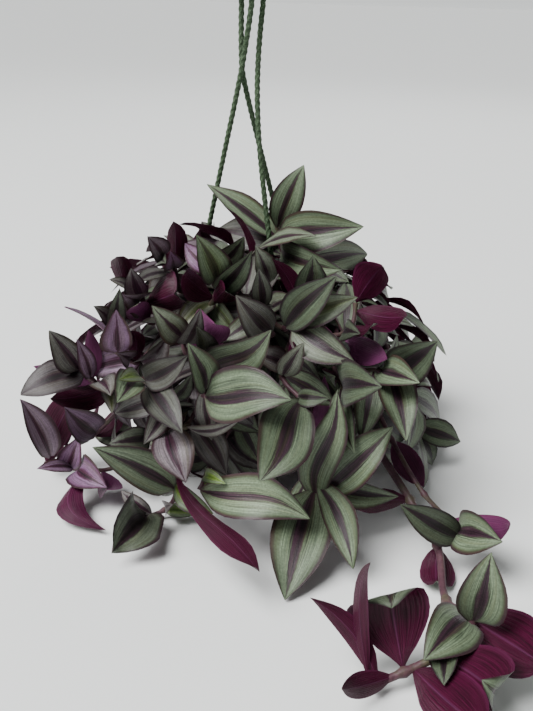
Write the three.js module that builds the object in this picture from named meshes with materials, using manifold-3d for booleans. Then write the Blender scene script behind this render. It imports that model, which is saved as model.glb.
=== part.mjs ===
// A potted inch plant (tradescantia zebrina) in a small hanging pot, in millimetres, +Z up.
// The origin is the centre of the pot's base, which stands on the surface, and -Y is the front.
import * as THREE from "three";
import { mergeVertices } from "three/addons/utils/BufferGeometryUtils.js";
import Module from "manifold-3d";

const wasm = await Module();
wasm.setup();

// ---- driving dimensions ----
const pot = { high: 86, baseRadius: 33, topRadius: 38.9, wall: 1.6, floor: 2.2, sides: 22 };
const flange = { radius: 46.6, thick: 2.6, holeRadius: 2.1 };
const drain = { count: 4, radius: 2, outAt: 20 };
const soil = { top: 77, gap: 0.4 };
const stemHole = { radius: 2.8, deep: 29, sides: 4 };
const rootRings = [{ out: 4.2, count: 3 }, { out: 11, count: 7 }, { out: 17.5, count: 12 }, { out: 23.9, count: 16 },
  { out: 30.3, count: 20 }];
const stem = { radius: 1.7, sides: 4, rootDeep: 28.4, stepLength: 36, leafGap: 4 };
const blade = { thick: 0.7, rows: [0, 0.24, 0.58, 1], footOut: 0.6, fold: 13, foldsFrom: 16 };
const cord = { radius: 1.55, sides: 6, steps: 19 };
const knot = { radius: 2.7, around: 6, down: 4, seat: 0.3 };
const hanger = { x: -5.3, y: -4, z: 270, radius: 11.5, thick: 3, holesOut: 7, holeRadius: 2.1 };
const crook = { radius: 10, wire: 1.9, shank: 8, sides: 6, steps: 11, endTurn: 200 };

// The foliage is a dome round the pot; leaf joints lie on it or a stated depth inside it.
const dome = { x: 0, y: -15, z: 45, wide: 135, long: 125, high: 115 };
const lowest = 2.2; // no joint or leaf tip lies lower over the surface

// The front leaves are laid out on a picture of the plant from this viewpoint.
const view = { eye: [8, -475, 267], pitch: 24.5, roll: 1.6, focal: 775, middleX: 266.5, middleY: 355.5 };

// Where each cord is fixed, as a turn about the pot's axis and about the hanger's.
const cordHoleOut = 42;
const cordTurns = {
  left: { rim: 172, plate: 270 },
  back: { rim: 52, plate: 150 },
  front: { rim: 292, plate: 30 },
};

// ---- small helpers ----
const rad = THREE.MathUtils.degToRad;
const vec = (x, y, z) => new THREE.Vector3(x, y, z);
const polar = (out, turn, z) => vec(out * Math.cos(rad(turn)), out * Math.sin(rad(turn)), z);
const turned = (v, axis, degrees) => v.clone().applyAxisAngle(axis, rad(degrees));

// The direction from the eye through a place in the picture.
function sightLine(pictureX, pictureY) {
  const u = pictureX - view.middleX;
  const v = pictureY - view.middleY;
  const right = (u * Math.cos(rad(view.roll)) + v * Math.sin(rad(view.roll))) / view.focal;
  const down = (v * Math.cos(rad(view.roll)) - u * Math.sin(rad(view.roll))) / view.focal;
  const c = Math.cos(rad(view.pitch));
  const s = Math.sin(rad(view.pitch));
  return vec(right, c - down * s, -s - down * c).normalize();
}
const eye = vec(...view.eye);
const along = (line, far) => eye.clone().addScaledVector(line, far);
const farToHeight = (line, z) => (z - eye.z) / line.z;

// A joint seen at a place in the picture, deep millimetres inside the dome of foliage.
function seen(pictureX, pictureY, deep) {
  const line = sightLine(pictureX, pictureY);
  const size = vec(dome.wide - deep, dome.long - deep, dome.high - deep);
  const from = eye.clone().sub(vec(dome.x, dome.y, dome.z)).divide(size);
  const to = line.clone().divide(size);
  const b = from.dot(to) / to.lengthSq();
  const c = (from.lengthSq() - 1) / to.lengthSq();
  const far = -b - Math.sqrt(Math.max(0, b * b - c));
  return along(line, line.z < 0 ? Math.min(far, farToHeight(line, lowest)) : far);
}

// A joint seen at a place in the picture, up millimetres over the surface.
function atHeight(pictureX, pictureY, up) {
  const line = sightLine(pictureX, pictureY);
  return along(line, farToHeight(line, up));
}

// ---- the shoots of the front, as seen: root in the soil, joints outwards, leaves on the joints ----
// tip: where the leaf's point is seen. long, wide: its real size. turn: how far the upper face is
// turned from the viewer, 180 showing the underside. arch: how far its middle stands off the chord.
// fold: how far each half is folded up from flat, where it isn't a usual one; a narrow leaf is flat.
// away: the tip points away from the viewer.
const shoots = {
  crown: {
    root: { ring: 0, turn: 70 },
    joints: [seen(284, 268, 40), seen(280, 243, 25), seen(277, 228, 17)],
    leaves: [
      { on: 2, tip: [300, 175], long: 43, wide: 20, turn: 10, arch: 3 },
      { on: 2, tip: [361, 226], long: 60, wide: 26, turn: -10, arch: 6 },
      { on: 2, tip: [209, 188], long: 56, wide: 20, turn: 35, arch: 4, away: true },
      { on: 1, tip: [211, 229], long: 46, wide: 22, turn: 15, arch: 4, away: true },
      { on: 1, tip: [360, 277], long: 62, wide: 26, turn: 0, arch: 7 },
      { on: 0, tip: [368, 254], long: 66, wide: 24, turn: 5, arch: 5, away: true },
    ],
  },
  right_upper: {
    root: { ring: 3, turn: 8 },
    joints: [seen(335, 336, 26), seen(352, 325, 14), seen(356, 303, 8)],
    leaves: [
      { on: 2, tip: [384, 265], long: 36, wide: 20, turn: 180, arch: 3 },
      { on: 2, tip: [408, 317], long: 38, wide: 16, turn: 160, arch: 4 },
      { on: 1, tip: [396, 320], long: 32, wide: 12, turn: 115, arch: 3 },
      { on: 1, tip: [382, 342], long: 26, wide: 14, turn: 0, arch: 3 },
      { on: 0, tip: [388, 360], long: 40, wide: 16, turn: 170, arch: 3 },
    ],
  },
  centre_top: {
    root: { ring: 1, turn: 318 },
    joints: [seen(285, 328, 16), seen(298, 318, 8), seen(300, 296, 5)],
    leaves: [
      { on: 2, tip: [313, 257], long: 30, wide: 18, turn: 25, arch: 3 },
      { on: 2, tip: [276, 266], long: 30, wide: 12, turn: 140, arch: 3 },
      { on: 0, tip: [335, 277], long: 52, wide: 20, turn: -10, arch: 4 },
      { on: 1, tip: [350, 300], long: 40, wide: 19, turn: 0, arch: 4, fold: 32 },
      { on: 1, tip: [355, 362], long: 48, wide: 20, turn: 0, arch: 5 },
      { on: 1, tip: [337, 348], long: 34, wide: 16, turn: 180, arch: 3 },
    ],
  },
  mid_top: {
    root: { ring: 1, turn: 262 },
    joints: [seen(272, 334, 20), seen(262, 308, 12), seen(268, 284, 7)],
    leaves: [
      { on: 0, tip: [242, 301], long: 36, wide: 20, turn: 15, arch: 4 },
      { on: 1, tip: [259, 268], long: 30, wide: 12, turn: 20, arch: 2 },
      { on: 2, tip: [257, 247], long: 30, wide: 14, turn: 30, arch: 3 },
      { on: 1, tip: [240, 330], long: 30, wide: 13, turn: 10, arch: 4 },
    ],
  },
  upper_left: {
    root: { ring: 2, turn: 190 },
    joints: [seen(212, 304, 16), seen(218, 284, 9), seen(214, 262, 5)],
    leaves: [
      { on: 1, tip: [197, 237], long: 42, wide: 18, turn: 0, arch: 3 },
      { on: 1, tip: [256, 248], long: 38, wide: 15, turn: 20, arch: 3 },
      { on: 2, tip: [244, 238], long: 28, wide: 14, turn: 30, arch: 3 },
      { on: 2, tip: [192, 230], long: 32, wide: 13, turn: 10, arch: 3 },
      { on: 0, tip: [244, 273], long: 34, wide: 14, turn: 175, arch: 3 },
      { on: 0, tip: [192, 320], long: 26, wide: 14, turn: 20, arch: 5 },
      { on: 0, tip: [228, 322], long: 26, wide: 12, turn: 10, arch: 5 },
    ],
  },
  back_left: {
    root: { ring: 3, turn: 158 },
    joints: [seen(180, 290, 22), seen(174, 268, 12), seen(162, 260, 4)],
    leaves: [
      { on: 2, tip: [147, 236], long: 28, wide: 13, turn: 20, arch: 3 },
      { on: 2, tip: [138, 248], long: 26, wide: 10, turn: 170, arch: 2 },
      { on: 2, tip: [168, 238], long: 28, wide: 12, turn: 10, arch: 3 },
      { on: 1, tip: [174, 225], long: 34, wide: 12, turn: 170, arch: 2 },
      { on: 1, tip: [146, 280], long: 30, wide: 12, turn: 60, arch: 3 },
    ],
  },
  left_upper: {
    root: { ring: 4, turn: 196 },
    joints: [seen(150, 322, 18), seen(142, 299, 10), seen(126, 291, 5)],
    leaves: [
      { on: 2, tip: [117, 254], long: 30, wide: 12, turn: 165, arch: 3 },
      { on: 1, tip: [131, 268], long: 26, wide: 13, turn: 0, arch: 3 },
      { on: 2, tip: [106, 277], long: 22, wide: 10, turn: 60, arch: 3 },
      { on: 1, tip: [193, 286], long: 40, wide: 22, turn: 180, arch: 7 },
      { on: 2, tip: [93, 290], long: 30, wide: 17, turn: 0, arch: 4 },
      { on: 0, tip: [127, 290], long: 36, wide: 14, turn: 180, arch: 3 },
      { on: 0, tip: [186, 306], long: 34, wide: 20, turn: 10, arch: 4, fold: 28 },
    ],
  },
  left_mid: {
    root: { ring: 4, turn: 184 },
    joints: [seen(136, 362, 20), seen(118, 352, 9), seen(112, 328, 5)],
    leaves: [
      { on: 1, tip: [116, 310], long: 34, wide: 18, turn: 0, arch: 3 },
      { on: 1, tip: [73, 315], long: 44, wide: 12, turn: 75, arch: 4 },
      { on: 0, tip: [132, 328], long: 28, wide: 11, turn: 175, arch: 3 },
      { on: 1, tip: [94, 345], long: 24, wide: 15, turn: 10, arch: 3 },
      { on: 2, tip: [93, 306], long: 24, wide: 11, turn: 30, arch: 3 },
      { on: 2, tip: [121, 284], long: 34, wide: 11, turn: 15, arch: 3 },
      { on: 0, tip: [168, 338], long: 34, wide: 18, turn: 10, arch: 5, fold: 30 },
    ],
  },
  left_low: {
    root: { ring: 4, turn: 207 },
    joints: [seen(108, 386, 18), seen(92, 380, 9), seen(79, 370, 4)],
    leaves: [
      { on: 2, tip: [49, 330], long: 40, wide: 17, turn: 0, arch: 3 },
      { on: 2, tip: [30, 391], long: 44, wide: 24, turn: 15, arch: 5 },
      { on: 2, tip: [71, 324], long: 34, wide: 11, turn: 25, arch: 3 },
      { on: 2, tip: [33, 366], long: 32, wide: 12, turn: 180, arch: 3 },
      { on: 1, tip: [89, 338], long: 30, wide: 10, turn: 170, arch: 2 },
      { on: 0, tip: [112, 414], long: 26, wide: 10, turn: 0, arch: 3 },
    ],
  },
  far_left: {
    root: { ring: 4, turn: 222 },
    joints: [seen(92, 436, 16), seen(62, 450, 7), seen(46, 464, 2)],
    leaves: [
      { on: 2, tip: [87, 384], long: 62, wide: 20, turn: 178, arch: 5 },
      { on: 2, tip: [20, 399], long: 48, wide: 18, turn: 15, arch: 4 },
      { on: 1, tip: [101, 400], long: 42, wide: 11, turn: 115, arch: 3 },
      { on: 0, tip: [118, 410], long: 28, wide: 13, turn: 150, arch: 4 },
    ],
  },
  low_left: {
    root: { ring: 4, turn: 234 },
    joints: [seen(116, 466, 18), atHeight(88, 470, 16), atHeight(68, 468, 13)],
    leaves: [
      { on: 2, tip: [79, 438], long: 26, wide: 15, turn: 0, arch: 3 },
      { on: 2, tip: [33, 469], long: 26, wide: 10, turn: 30, arch: 3 },
      { on: 2, tip: [105, 486], long: 30, wide: 20, turn: 0, arch: 4 },
      { on: 1, tip: [107, 532], long: 44, wide: 16, turn: 165, arch: -6 },
      { on: 1, tip: [49, 503], long: 40, wide: 13, turn: 10, arch: 3 },
    ],
  },
  left_front: {
    root: { ring: 3, turn: 218 },
    joints: [seen(164, 400, 20), seen(144, 380, 8), seen(134, 379, 5)],
    leaves: [
      { on: 1, tip: [188, 355], long: 36, wide: 17, turn: 0, arch: 3 },
      { on: 1, tip: [176, 424], long: 42, wide: 18, turn: 0, arch: 3 },
      { on: 0, tip: [192, 376], long: 28, wide: 12, turn: 50, arch: 3 },
      { on: 2, tip: [117, 403], long: 32, wide: 17, turn: 0, arch: 4 },
      { on: 0, tip: [146, 440], long: 34, wide: 14, turn: 0, arch: 4 },
      { on: 2, tip: [101, 380], long: 26, wide: 11, turn: 20, arch: 3 },
    ],
  },
  centre: {
    root: { ring: 2, turn: 238 },
    joints: [seen(206, 350, 22), seen(186, 352, 10), seen(182, 336, 6)],
    leaves: [
      { on: 1, tip: [221, 318], long: 36, wide: 22, turn: 178, arch: 5 },
      { on: 2, tip: [152, 306], long: 32, wide: 16, turn: 0, arch: 4 },
      { on: 0, tip: [243, 332], long: 32, wide: 14, turn: 10, arch: 3 },
      { on: 2, tip: [206, 300], long: 30, wide: 13, turn: 30, arch: 5 },
    ],
  },
  front_centre: {
    root: { ring: 3, turn: 252 },
    joints: [seen(208, 374, 20), seen(204, 396, 9)],
    leaves: [
      { on: 1, tip: [292, 400], long: 54, wide: 29, turn: 0, arch: 5 },
      { on: 0, tip: [271, 330], long: 54, wide: 24, turn: 0, arch: 4 },
      { on: 1, tip: [188, 343], long: 38, wide: 17, turn: 30, arch: 4 },
      { on: 1, tip: [212, 443], long: 30, wide: 12, turn: 10, arch: 4 },
      { on: 0, tip: [176, 398], long: 30, wide: 12, turn: 40, arch: 3 },
    ],
  },
  front_low: {
    root: { ring: 4, turn: 246 },
    joints: [seen(186, 426, 18), seen(168, 430, 10), seen(152, 440, 6)],
    leaves: [
      { on: 1, tip: [184, 477], long: 34, wide: 22, turn: 0, arch: 5 },
      { on: 0, tip: [240, 420], long: 38, wide: 10, turn: 70, arch: 4 },
      { on: 2, tip: [119, 443], long: 26, wide: 14, turn: 0, arch: 4 },
      { on: 2, tip: [138, 476], long: 28, wide: 14, turn: 20, arch: 4 },
    ],
  },
  rooting: {
    root: { ring: 4, turn: 258 },
    joints: [seen(170, 466, 14), seen(176, 490, 8), atHeight(164, 510, 6), atHeight(146, 517, 5)],
    leaves: [
      { on: 1, tip: [84, 443], long: 62, wide: 21, turn: 0, arch: 5 },
      { on: 0, tip: [201, 502], long: 30, wide: 13, turn: 20, arch: 8 },
      { on: 0, tip: [274, 592], long: 92, wide: 13, turn: 160, arch: 4, fold: 30 },
      { on: 3, tip: [112, 552], long: 40, wide: 30, turn: 0, arch: 5, fold: 22 },
      { on: 3, tip: [124, 493], long: 22, wide: 10, turn: 0, arch: 2 },
      { on: 2, tip: [199, 513], long: 20, wide: 9, turn: 0, arch: 2 },
    ],
  },
  front_bud: {
    root: { ring: 3, turn: 268 },
    joints: [seen(214, 456, 22), seen(200, 490, 8)],
    leaves: [
      { on: 1, tip: [310, 519], long: 66, wide: 25, turn: 0, arch: 6 },
      { on: 1, tip: [230, 492], long: 18, wide: 8, turn: 0, arch: 3, fold: 30 },
    ],
  },
  mid_right: {
    root: { ring: 3, turn: 283 },
    joints: [seen(282, 376, 22), seen(302, 400, 8)],
    leaves: [
      { on: 1, tip: [260, 481], long: 54, wide: 30, turn: 0, arch: 5 },
      { on: 0, tip: [304, 343], long: 30, wide: 13, turn: 15, arch: 3 },
      { on: 0, tip: [292, 349], long: 28, wide: 10, turn: 140, arch: 3 },
      { on: 1, tip: [329, 398], long: 20, wide: 10, turn: 20, arch: 4 },
      { on: 0, tip: [250, 352], long: 30, wide: 14, turn: 10, arch: 3 },
    ],
  },
  front_right: {
    root: { ring: 4, turn: 284 },
    joints: [seen(312, 452, 22), seen(314, 478, 12), seen(318, 502, 5)],
    leaves: [
      { on: 2, tip: [337, 390], long: 68, wide: 22, turn: -15, arch: 6 },
      { on: 2, tip: [389, 430], long: 58, wide: 24, turn: 0, arch: 6 },
      { on: 2, tip: [285, 600], long: 58, wide: 31, turn: 0, arch: 5 },
      { on: 2, tip: [356, 576], long: 50, wide: 21, turn: 0, arch: 4 },
      { on: 1, tip: [386, 494], long: 46, wide: 19, turn: 0, arch: 3, fold: 30 },
      { on: 1, tip: [273, 556], long: 46, wide: 13, turn: 20, arch: 3 },
      { on: 0, tip: [325, 373], long: 44, wide: 11, turn: 160, arch: 3 },
    ],
  },
  right_rosette: {
    root: { ring: 4, turn: 345 },
    joints: [seen(346, 366, 24), seen(374, 370, 11), seen(397, 373, 4)],
    leaves: [
      { on: 2, tip: [437, 342], long: 38, wide: 24, turn: 0, arch: 4 },
      { on: 2, tip: [406, 440], long: 48, wide: 20, turn: 0, arch: 4 },
      { on: 2, tip: [461, 395], long: 46, wide: 21, turn: -15, arch: 4 },
      { on: 2, tip: [396, 337], long: 30, wide: 16, turn: 35, arch: 3 },
      { on: 1, tip: [362, 430], long: 40, wide: 17, turn: 10, arch: 4 },
    ],
  },
  right_mid: {
    root: { ring: 4, turn: 320 },
    joints: [seen(336, 372, 26), seen(344, 388, 10)],
    leaves: [
      { on: 1, tip: [405, 386], long: 46, wide: 25, turn: 0, arch: 6 },
      { on: 0, tip: [326, 398], long: 28, wide: 12, turn: 170, arch: 3 },
      { on: 1, tip: [352, 444], long: 38, wide: 15, turn: 30, arch: 4 },
    ],
  },
  right_side: {
    root: { ring: 4, turn: 305 },
    joints: [seen(392, 440, 14), atHeight(424, 494, 30), atHeight(448, 520, 20), atHeight(461, 538, 14)],
    leaves: [
      { on: 3, tip: [400, 504], long: 44, wide: 18, turn: 0, arch: 4 },
      { on: 2, tip: [512, 528], long: 46, wide: 18, turn: 160, arch: 8 },
      { on: 3, tip: [517, 545], long: 36, wide: 23, turn: 0, arch: 4 },
      { on: 0, tip: [424, 487], long: 28, wide: 16, turn: 178, arch: 3 },
    ],
  },
  right_trail: {
    root: { ring: 3, turn: 299 },
    joints: [
      seen(376, 446, 18), atHeight(410, 500, 24), atHeight(437, 545, 14), atHeight(446, 600, 10),
      atHeight(472, 622, 18), atHeight(440, 654, 14), atHeight(404, 672, 9), atHeight(370, 686, 6),
    ],
    leaves: [
      { on: 1, tip: [370, 506], long: 32, wide: 14, turn: 160, arch: 3 },
      { on: 2, tip: [437, 577], long: 26, wide: 20, turn: 178, arch: 4 },
      { on: 4, tip: [491, 554], long: 42, wide: 22, turn: 0, arch: 4 },
      { on: 4, tip: [424, 660], long: 40, wide: 24, turn: 0, arch: 5 },
      { on: 4, tip: [548, 668], long: 54, wide: 30, turn: 178, arch: 6 },
      { on: 5, tip: [503, 700], long: 44, wide: 28, turn: 178, arch: 6 },
      { on: 5, tip: [444, 692], long: 22, wide: 13, turn: 0, arch: 3 },
      { on: 7, tip: [371, 562], long: 64, wide: 13, turn: 150, arch: 8 },
      { on: 7, tip: [317, 606], long: 46, wide: 14, turn: 170, arch: 3 },
      { on: 7, tip: [314, 697], long: 30, wide: 11, turn: 178, arch: 3 },
      { on: 6, tip: [394, 604], long: 44, wide: 36, turn: 178, arch: 7 },
      { on: 6, tip: [470, 716], long: 50, wide: 26, turn: 178, arch: 5 },
    ],
  },
};

// ---- the shoots that fill the sides, the back and the inside, placed by rule ----
// Each ring is a set of stems that end at one height of the dome, deep millimetres inside it.
const rings = {
  skirt: { turns: [-18, 10, 38, 66, 94, 122, 150], rootRing: 4, height: 16, deep: 24, leaves: 6 },
  shoulder: { turns: [22, 52, 84, 114, 146], rootRing: 3, height: 40, deep: 20, leaves: 6 },
  top: { turns: [22, 86, 150], rootRing: 1, height: 108, deep: 36, leaves: 6 },
  peak: { turns: [215, 258], rootRing: 0, height: 128, deep: 28, leaves: 6 },
  inner: { turns: [206, 230, 254, 278, 302, 326], rootRing: 4, height: 30, deep: 66, leaves: 5 },
};
const fill = {
  seed: 41, long: [36, 54], wideShare: [0.4, 0.5], spread: 52, droop: 0.22, lean: 24,
};

// ---- solids: three.js makes every shape, and these join and cut them ----
function solidOf(geometry) {
  const bare = geometry.clone();
  bare.deleteAttribute("normal");
  bare.deleteAttribute("uv");
  const merged = mergeVertices(bare, 1e-3);
  return new wasm.Manifold(new wasm.Mesh({
    numProp: 3,
    vertProperties: merged.attributes.position.array,
    triVerts: new Uint32Array(merged.index.array),
  }));
}

function geometryOf(solid) {
  const mesh = solid.getMesh();
  const geometry = new THREE.BufferGeometry();
  geometry.setAttribute("position", new THREE.BufferAttribute(mesh.vertProperties, 3));
  geometry.setIndex(new THREE.BufferAttribute(mesh.triVerts, 1));
  geometry.computeVertexNormals();
  return geometry;
}

function boxOf(solid) {
  const { min, max } = solid.boundingBox();
  return new THREE.Box3(vec(...min), vec(...max));
}

// The body left when loose scraps are dropped and sealed hollows are filled.
function wholeBody(solid) {
  const bodies = solid.decompose();
  return bodies.reduce((a, b) => (a.volume() > b.volume() ? a : b));
}

function roundSection(radius, sides) {
  const section = new THREE.Shape();
  for (let i = 0; i < sides; i++) {
    const turn = (2 * Math.PI * i) / sides;
    const point = [radius * Math.cos(turn), radius * Math.sin(turn)];
    if (i === 0) section.moveTo(...point);
    else section.lineTo(...point);
  }
  section.closePath();
  return section;
}

function tube(curve, radius, sides, steps) {
  return new THREE.ExtrudeGeometry(roundSection(radius, sides), { extrudePath: curve, steps, bevelEnabled: false });
}

// A path whose steps fall on the given points, for a tube that passes exactly through them.
class PathThrough extends THREE.Curve {
  constructor(points) {
    super();
    this.points = points;
  }
  getPointAt(share, target = new THREE.Vector3()) {
    return target.copy(this.points[Math.round(share * (this.points.length - 1))]);
  }
  getTangentAt(share, target = new THREE.Vector3()) {
    const last = this.points.length - 1;
    const i = Math.round(share * last);
    return target.copy(this.points[Math.min(i + 1, last)]).sub(this.points[Math.max(i - 1, 0)]).normalize();
  }
}

function upright(radius, sides, x, y, low, high) {
  const post = new THREE.CylinderGeometry(radius, radius, high - low, sides);
  return post.rotateX(Math.PI / 2).translate(x, y, (low + high) / 2);
}

function turnedShape(profile, sides) {
  const points = profile.map(([radius, z]) => new THREE.Vector2(radius, z));
  return new THREE.LatheGeometry(points, sides).rotateX(Math.PI / 2);
}

const cut = (solid, tools) => tools.reduce((rest, tool) => rest.subtract(solidOf(tool)), solid);

// ---- pot, soil, hanger, cords and knots ----
const wallAt = (z) => pot.baseRadius + ((pot.topRadius - pot.baseRadius) * z) / (pot.high - flange.thick);
const rimHoles = Object.values(cordTurns).map(({ rim }) => polar(cordHoleOut, rim, 0));

function makePot() {
  const under = pot.high - flange.thick;
  const shell = turnedShape([
    [0, 0],
    [pot.baseRadius, 0],
    [pot.topRadius, under],
    [flange.radius - 0.6, under],
    [flange.radius, under + 0.6],
    [flange.radius, pot.high - 0.6],
    [flange.radius - 0.6, pot.high],
    [pot.topRadius - pot.wall + 0.2, pot.high],
    [wallAt(pot.floor) - pot.wall, pot.floor],
    [0, pot.floor],
  ], pot.sides);
  const holes = rimHoles.map((p) => upright(flange.holeRadius, 8, p.x, p.y, under - 1, pot.high + 1));
  for (let i = 0; i < drain.count; i++) {
    const at = polar(drain.outAt, (360 * i) / drain.count + 45, 0);
    holes.push(upright(drain.radius, 6, at.x, at.y, -1, pot.floor + 1));
  }
  return cut(solidOf(shell), holes);
}

function makeSoil(roots) {
  const at = (z) => wallAt(z) - pot.wall - soil.gap;
  const floor = pot.floor + soil.gap;
  const shell = turnedShape([
    [0, floor],
    [at(floor), floor],
    [at(soil.top - 2), soil.top - 2],
    [at(soil.top - 2) - 4, soil.top],
    [0, soil.top],
  ], pot.sides);
  const holes = roots.map((p) => (
    upright(stemHole.radius, stemHole.sides, p.x, p.y, soil.top - stemHole.deep, soil.top + 4)
  ));
  return cut(solidOf(shell), holes);
}

function plateHole(turn) {
  return vec(hanger.x, hanger.y, 0).add(polar(hanger.holesOut, turn, 0));
}

function makeHanger() {
  const top = hanger.z + hanger.thick;
  const plate = solidOf(upright(hanger.radius, 16, hanger.x, hanger.y, hanger.z, top));
  const centre = top + crook.shank + crook.radius;
  const path = [vec(hanger.x, hanger.y, top - hanger.thick / 2), vec(hanger.x, hanger.y, top + 3)];
  for (let turn = -60; turn <= crook.endTurn; turn += 26) {
    path.push(vec(crook.radius * Math.cos(rad(turn)), 0, crook.radius * Math.sin(rad(turn)))
      .add(vec(hanger.x, hanger.y, centre)));
  }
  const hook = tube(new THREE.CatmullRomCurve3(path, false, "centripetal"), crook.wire, crook.sides, crook.steps);
  const holes = Object.values(cordTurns).map(({ plate: turn }) => {
    const at = plateHole(turn);
    return upright(hanger.holeRadius, 8, at.x, at.y, hanger.z - 1, top + 1);
  });
  return cut(plate.add(solidOf(hook)), holes);
}

function knotAt(x, y, z) {
  return solidOf(new THREE.SphereGeometry(knot.radius, knot.around, knot.down).translate(x, y, z));
}

// The cords' routes, from the hanger's plate down to the rim: taut, with a kink where the left and
// the back cord are crossed, and a slight bow in the front one.
const cordRoutes = {
  left: [
    [-5.3, -11, 273], [-5.3, -11, 268.5], [-6.4, -10.2, 259], [-7.9, -9, 249], [-9.5, -7.6, 239],
    [-10.9, -6.4, 231], [-12.9, -5.3, 221], [-15.6, -4.4, 208], [-18.6, -3.4, 194], [-21.8, -2.2, 179],
    [-25.2, -0.9, 163], [-28.6, 0.5, 147], [-32, 1.9, 131], [-35.4, 3.4, 115], [-38.6, 4.8, 101],
    [-41.2, 5.7, 90], [-41.59, 5.85, 83.4],
  ],
  back: [
    [-11.36, -0.5, 273], [-11.36, -0.5, 268.5], [-11.4, -1, 259], [-11.3, -1.8, 249], [-11, -2.6, 239],
    [-10.4, -2.9, 231], [-8.4, -1.2, 221], [-5.2, 2.2, 208], [-1.6, 5.6, 194], [2.4, 9.4, 179],
    [6.6, 13.4, 163], [10.8, 17.5, 147], [15, 21.7, 131], [19.4, 26, 115], [23.2, 30, 101],
    [25.5, 32.6, 90], [25.86, 33.1, 83.4],
  ],
  front: [
    [0.76, -0.5, 273], [0.76, -0.5, 268.5], [0, -1.8, 259], [-0.8, -3.4, 249], [-1.3, -5.2, 239],
    [-1.5, -6.8, 231], [-1.5, -9, 221], [-0.9, -12, 208], [0.2, -15.2, 194], [2, -18.6, 179],
    [4.2, -22.2, 163], [6.6, -25.8, 147], [9, -29.4, 131], [11.6, -33, 115], [14, -36.4, 101],
    [15.5, -38.6, 90], [15.73, -38.94, 83.4],
  ],
};

function makeCord(route) {
  const curve = new THREE.CatmullRomCurve3(route.map((p) => vec(...p)), false, "centripetal");
  return solidOf(tube(curve, cord.radius, cord.sides, cord.steps));
}

// ---- leaves ----
// A blade is ovate and pointed: its half width at a share s of its length.
const bladeWidth = (s) => Math.sin(Math.PI * s ** 0.64) ** 0.9;

// The blade's mid-surface is arched along its length and folded along its midrib; both faces are
// split into triangles alike. grow widens it all round, for the room it needs.
function bladeSolid(leaf, grow = 0) {
  const { top, wide, arch, fold } = leaf;
  const long = leaf.tip.distanceTo(leaf.foot) + 2 * grow;
  const ahead = leaf.tip.clone().sub(leaf.foot).normalize();
  const foot = leaf.foot.clone().addScaledVector(ahead, -grow);
  const side = ahead.clone().cross(top);
  const across = Math.cos(rad(fold));
  const half = (blade.thick / 2 + grow) / across;
  const points = [];
  for (const s of blade.rows) {
    const middle = foot.clone().addScaledVector(ahead, s * long).addScaledVector(top, 4 * arch * s * (1 - s));
    const normal = top.clone().addScaledVector(ahead, (-4 * arch * (1 - 2 * s)) / long).normalize();
    const reach = (wide / 2) * bladeWidth(s) + grow;
    for (const edge of s === 0 || s === 1 ? [0] : columnsOf(leaf)) {
      const rise = Math.abs(edge) * reach * Math.sin(rad(fold));
      const at = middle.clone().addScaledVector(side, edge * reach * across).addScaledVector(normal, rise);
      points.push(at.clone().addScaledVector(normal, half), at.addScaledVector(normal, -half));
    }
  }
  return solidFrom(points, bladeFaces[columnsOf(leaf).length]);
}

// A leaf with a fold has a midrib between its margins, and a flat one has margins only.
const columnsOf = ({ fold }) => (fold ? [-1, 0, 1] : [-1, 1]);

// Vertices come in pairs, upper then lower: one pair at the foot, one for each column of a row,
// and one at the tip.
function facesOfBlade(columns) {
  const last = blade.rows.length - 1;
  const pairAt = (row, column) => {
    if (row === 0) return 0;
    return row === last ? columns * (last - 1) + 1 : columns * (row - 1) + 1 + column;
  };
  const faces = [];
  const addBoth = (a, b, c) => {
    if (a === b || b === c || a === c) return;
    faces.push([2 * a, 2 * b, 2 * c], [2 * a + 1, 2 * c + 1, 2 * b + 1]);
  };
  const addEdge = (a, b) => faces.push([2 * a, 2 * b, 2 * b + 1], [2 * a, 2 * b + 1, 2 * a + 1]);
  for (let row = 0; row < last; row++) {
    for (let column = 0; column < columns - 1; column++) {
      const [a, b] = [pairAt(row, column), pairAt(row, column + 1)];
      const [c, d] = [pairAt(row + 1, column + 1), pairAt(row + 1, column)];
      addBoth(a, b, c);
      addBoth(a, c, d);
    }
    addEdge(pairAt(row, 0), pairAt(row + 1, 0));
    addEdge(pairAt(row + 1, columns - 1), pairAt(row, columns - 1));
  }
  return faces;
}
const bladeFaces = { 2: facesOfBlade(2), 3: facesOfBlade(3) };

function solidFrom(points, faces) {
  return new wasm.Manifold(new wasm.Mesh({
    numProp: 3,
    vertProperties: new Float32Array(points.flatMap((p) => [p.x, p.y, p.z])),
    triVerts: new Uint32Array(faces.flat()),
  }));
}

// A front leaf: its tip lies on the sight line through the place where it is seen.
function seenLeaf(foot, leaf) {
  const line = sightLine(...leaf.tip);
  const nearest = foot.clone().sub(eye).dot(line);
  const off = foot.distanceToSquared(along(line, nearest));
  const reach = Math.sqrt(Math.max(0, leaf.long ** 2 - off));
  let far = nearest + (leaf.away ? reach : -reach);
  if (line.z < 0) far = Math.min(far, farToHeight(line, lowest));
  const tip = along(line, far);
  const ahead = tip.clone().sub(foot).normalize();
  const look = eye.clone().sub(foot).normalize();
  const face = look.clone().addScaledVector(ahead, -look.dot(ahead)).normalize();
  const top = turned(face, ahead, leaf.turn);
  const fold = leaf.fold ?? (leaf.wide < blade.foldsFrom ? 0 : blade.fold);
  return { foot, tip, top, look, wide: leaf.wide, arch: leaf.arch, fold };
}

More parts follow.
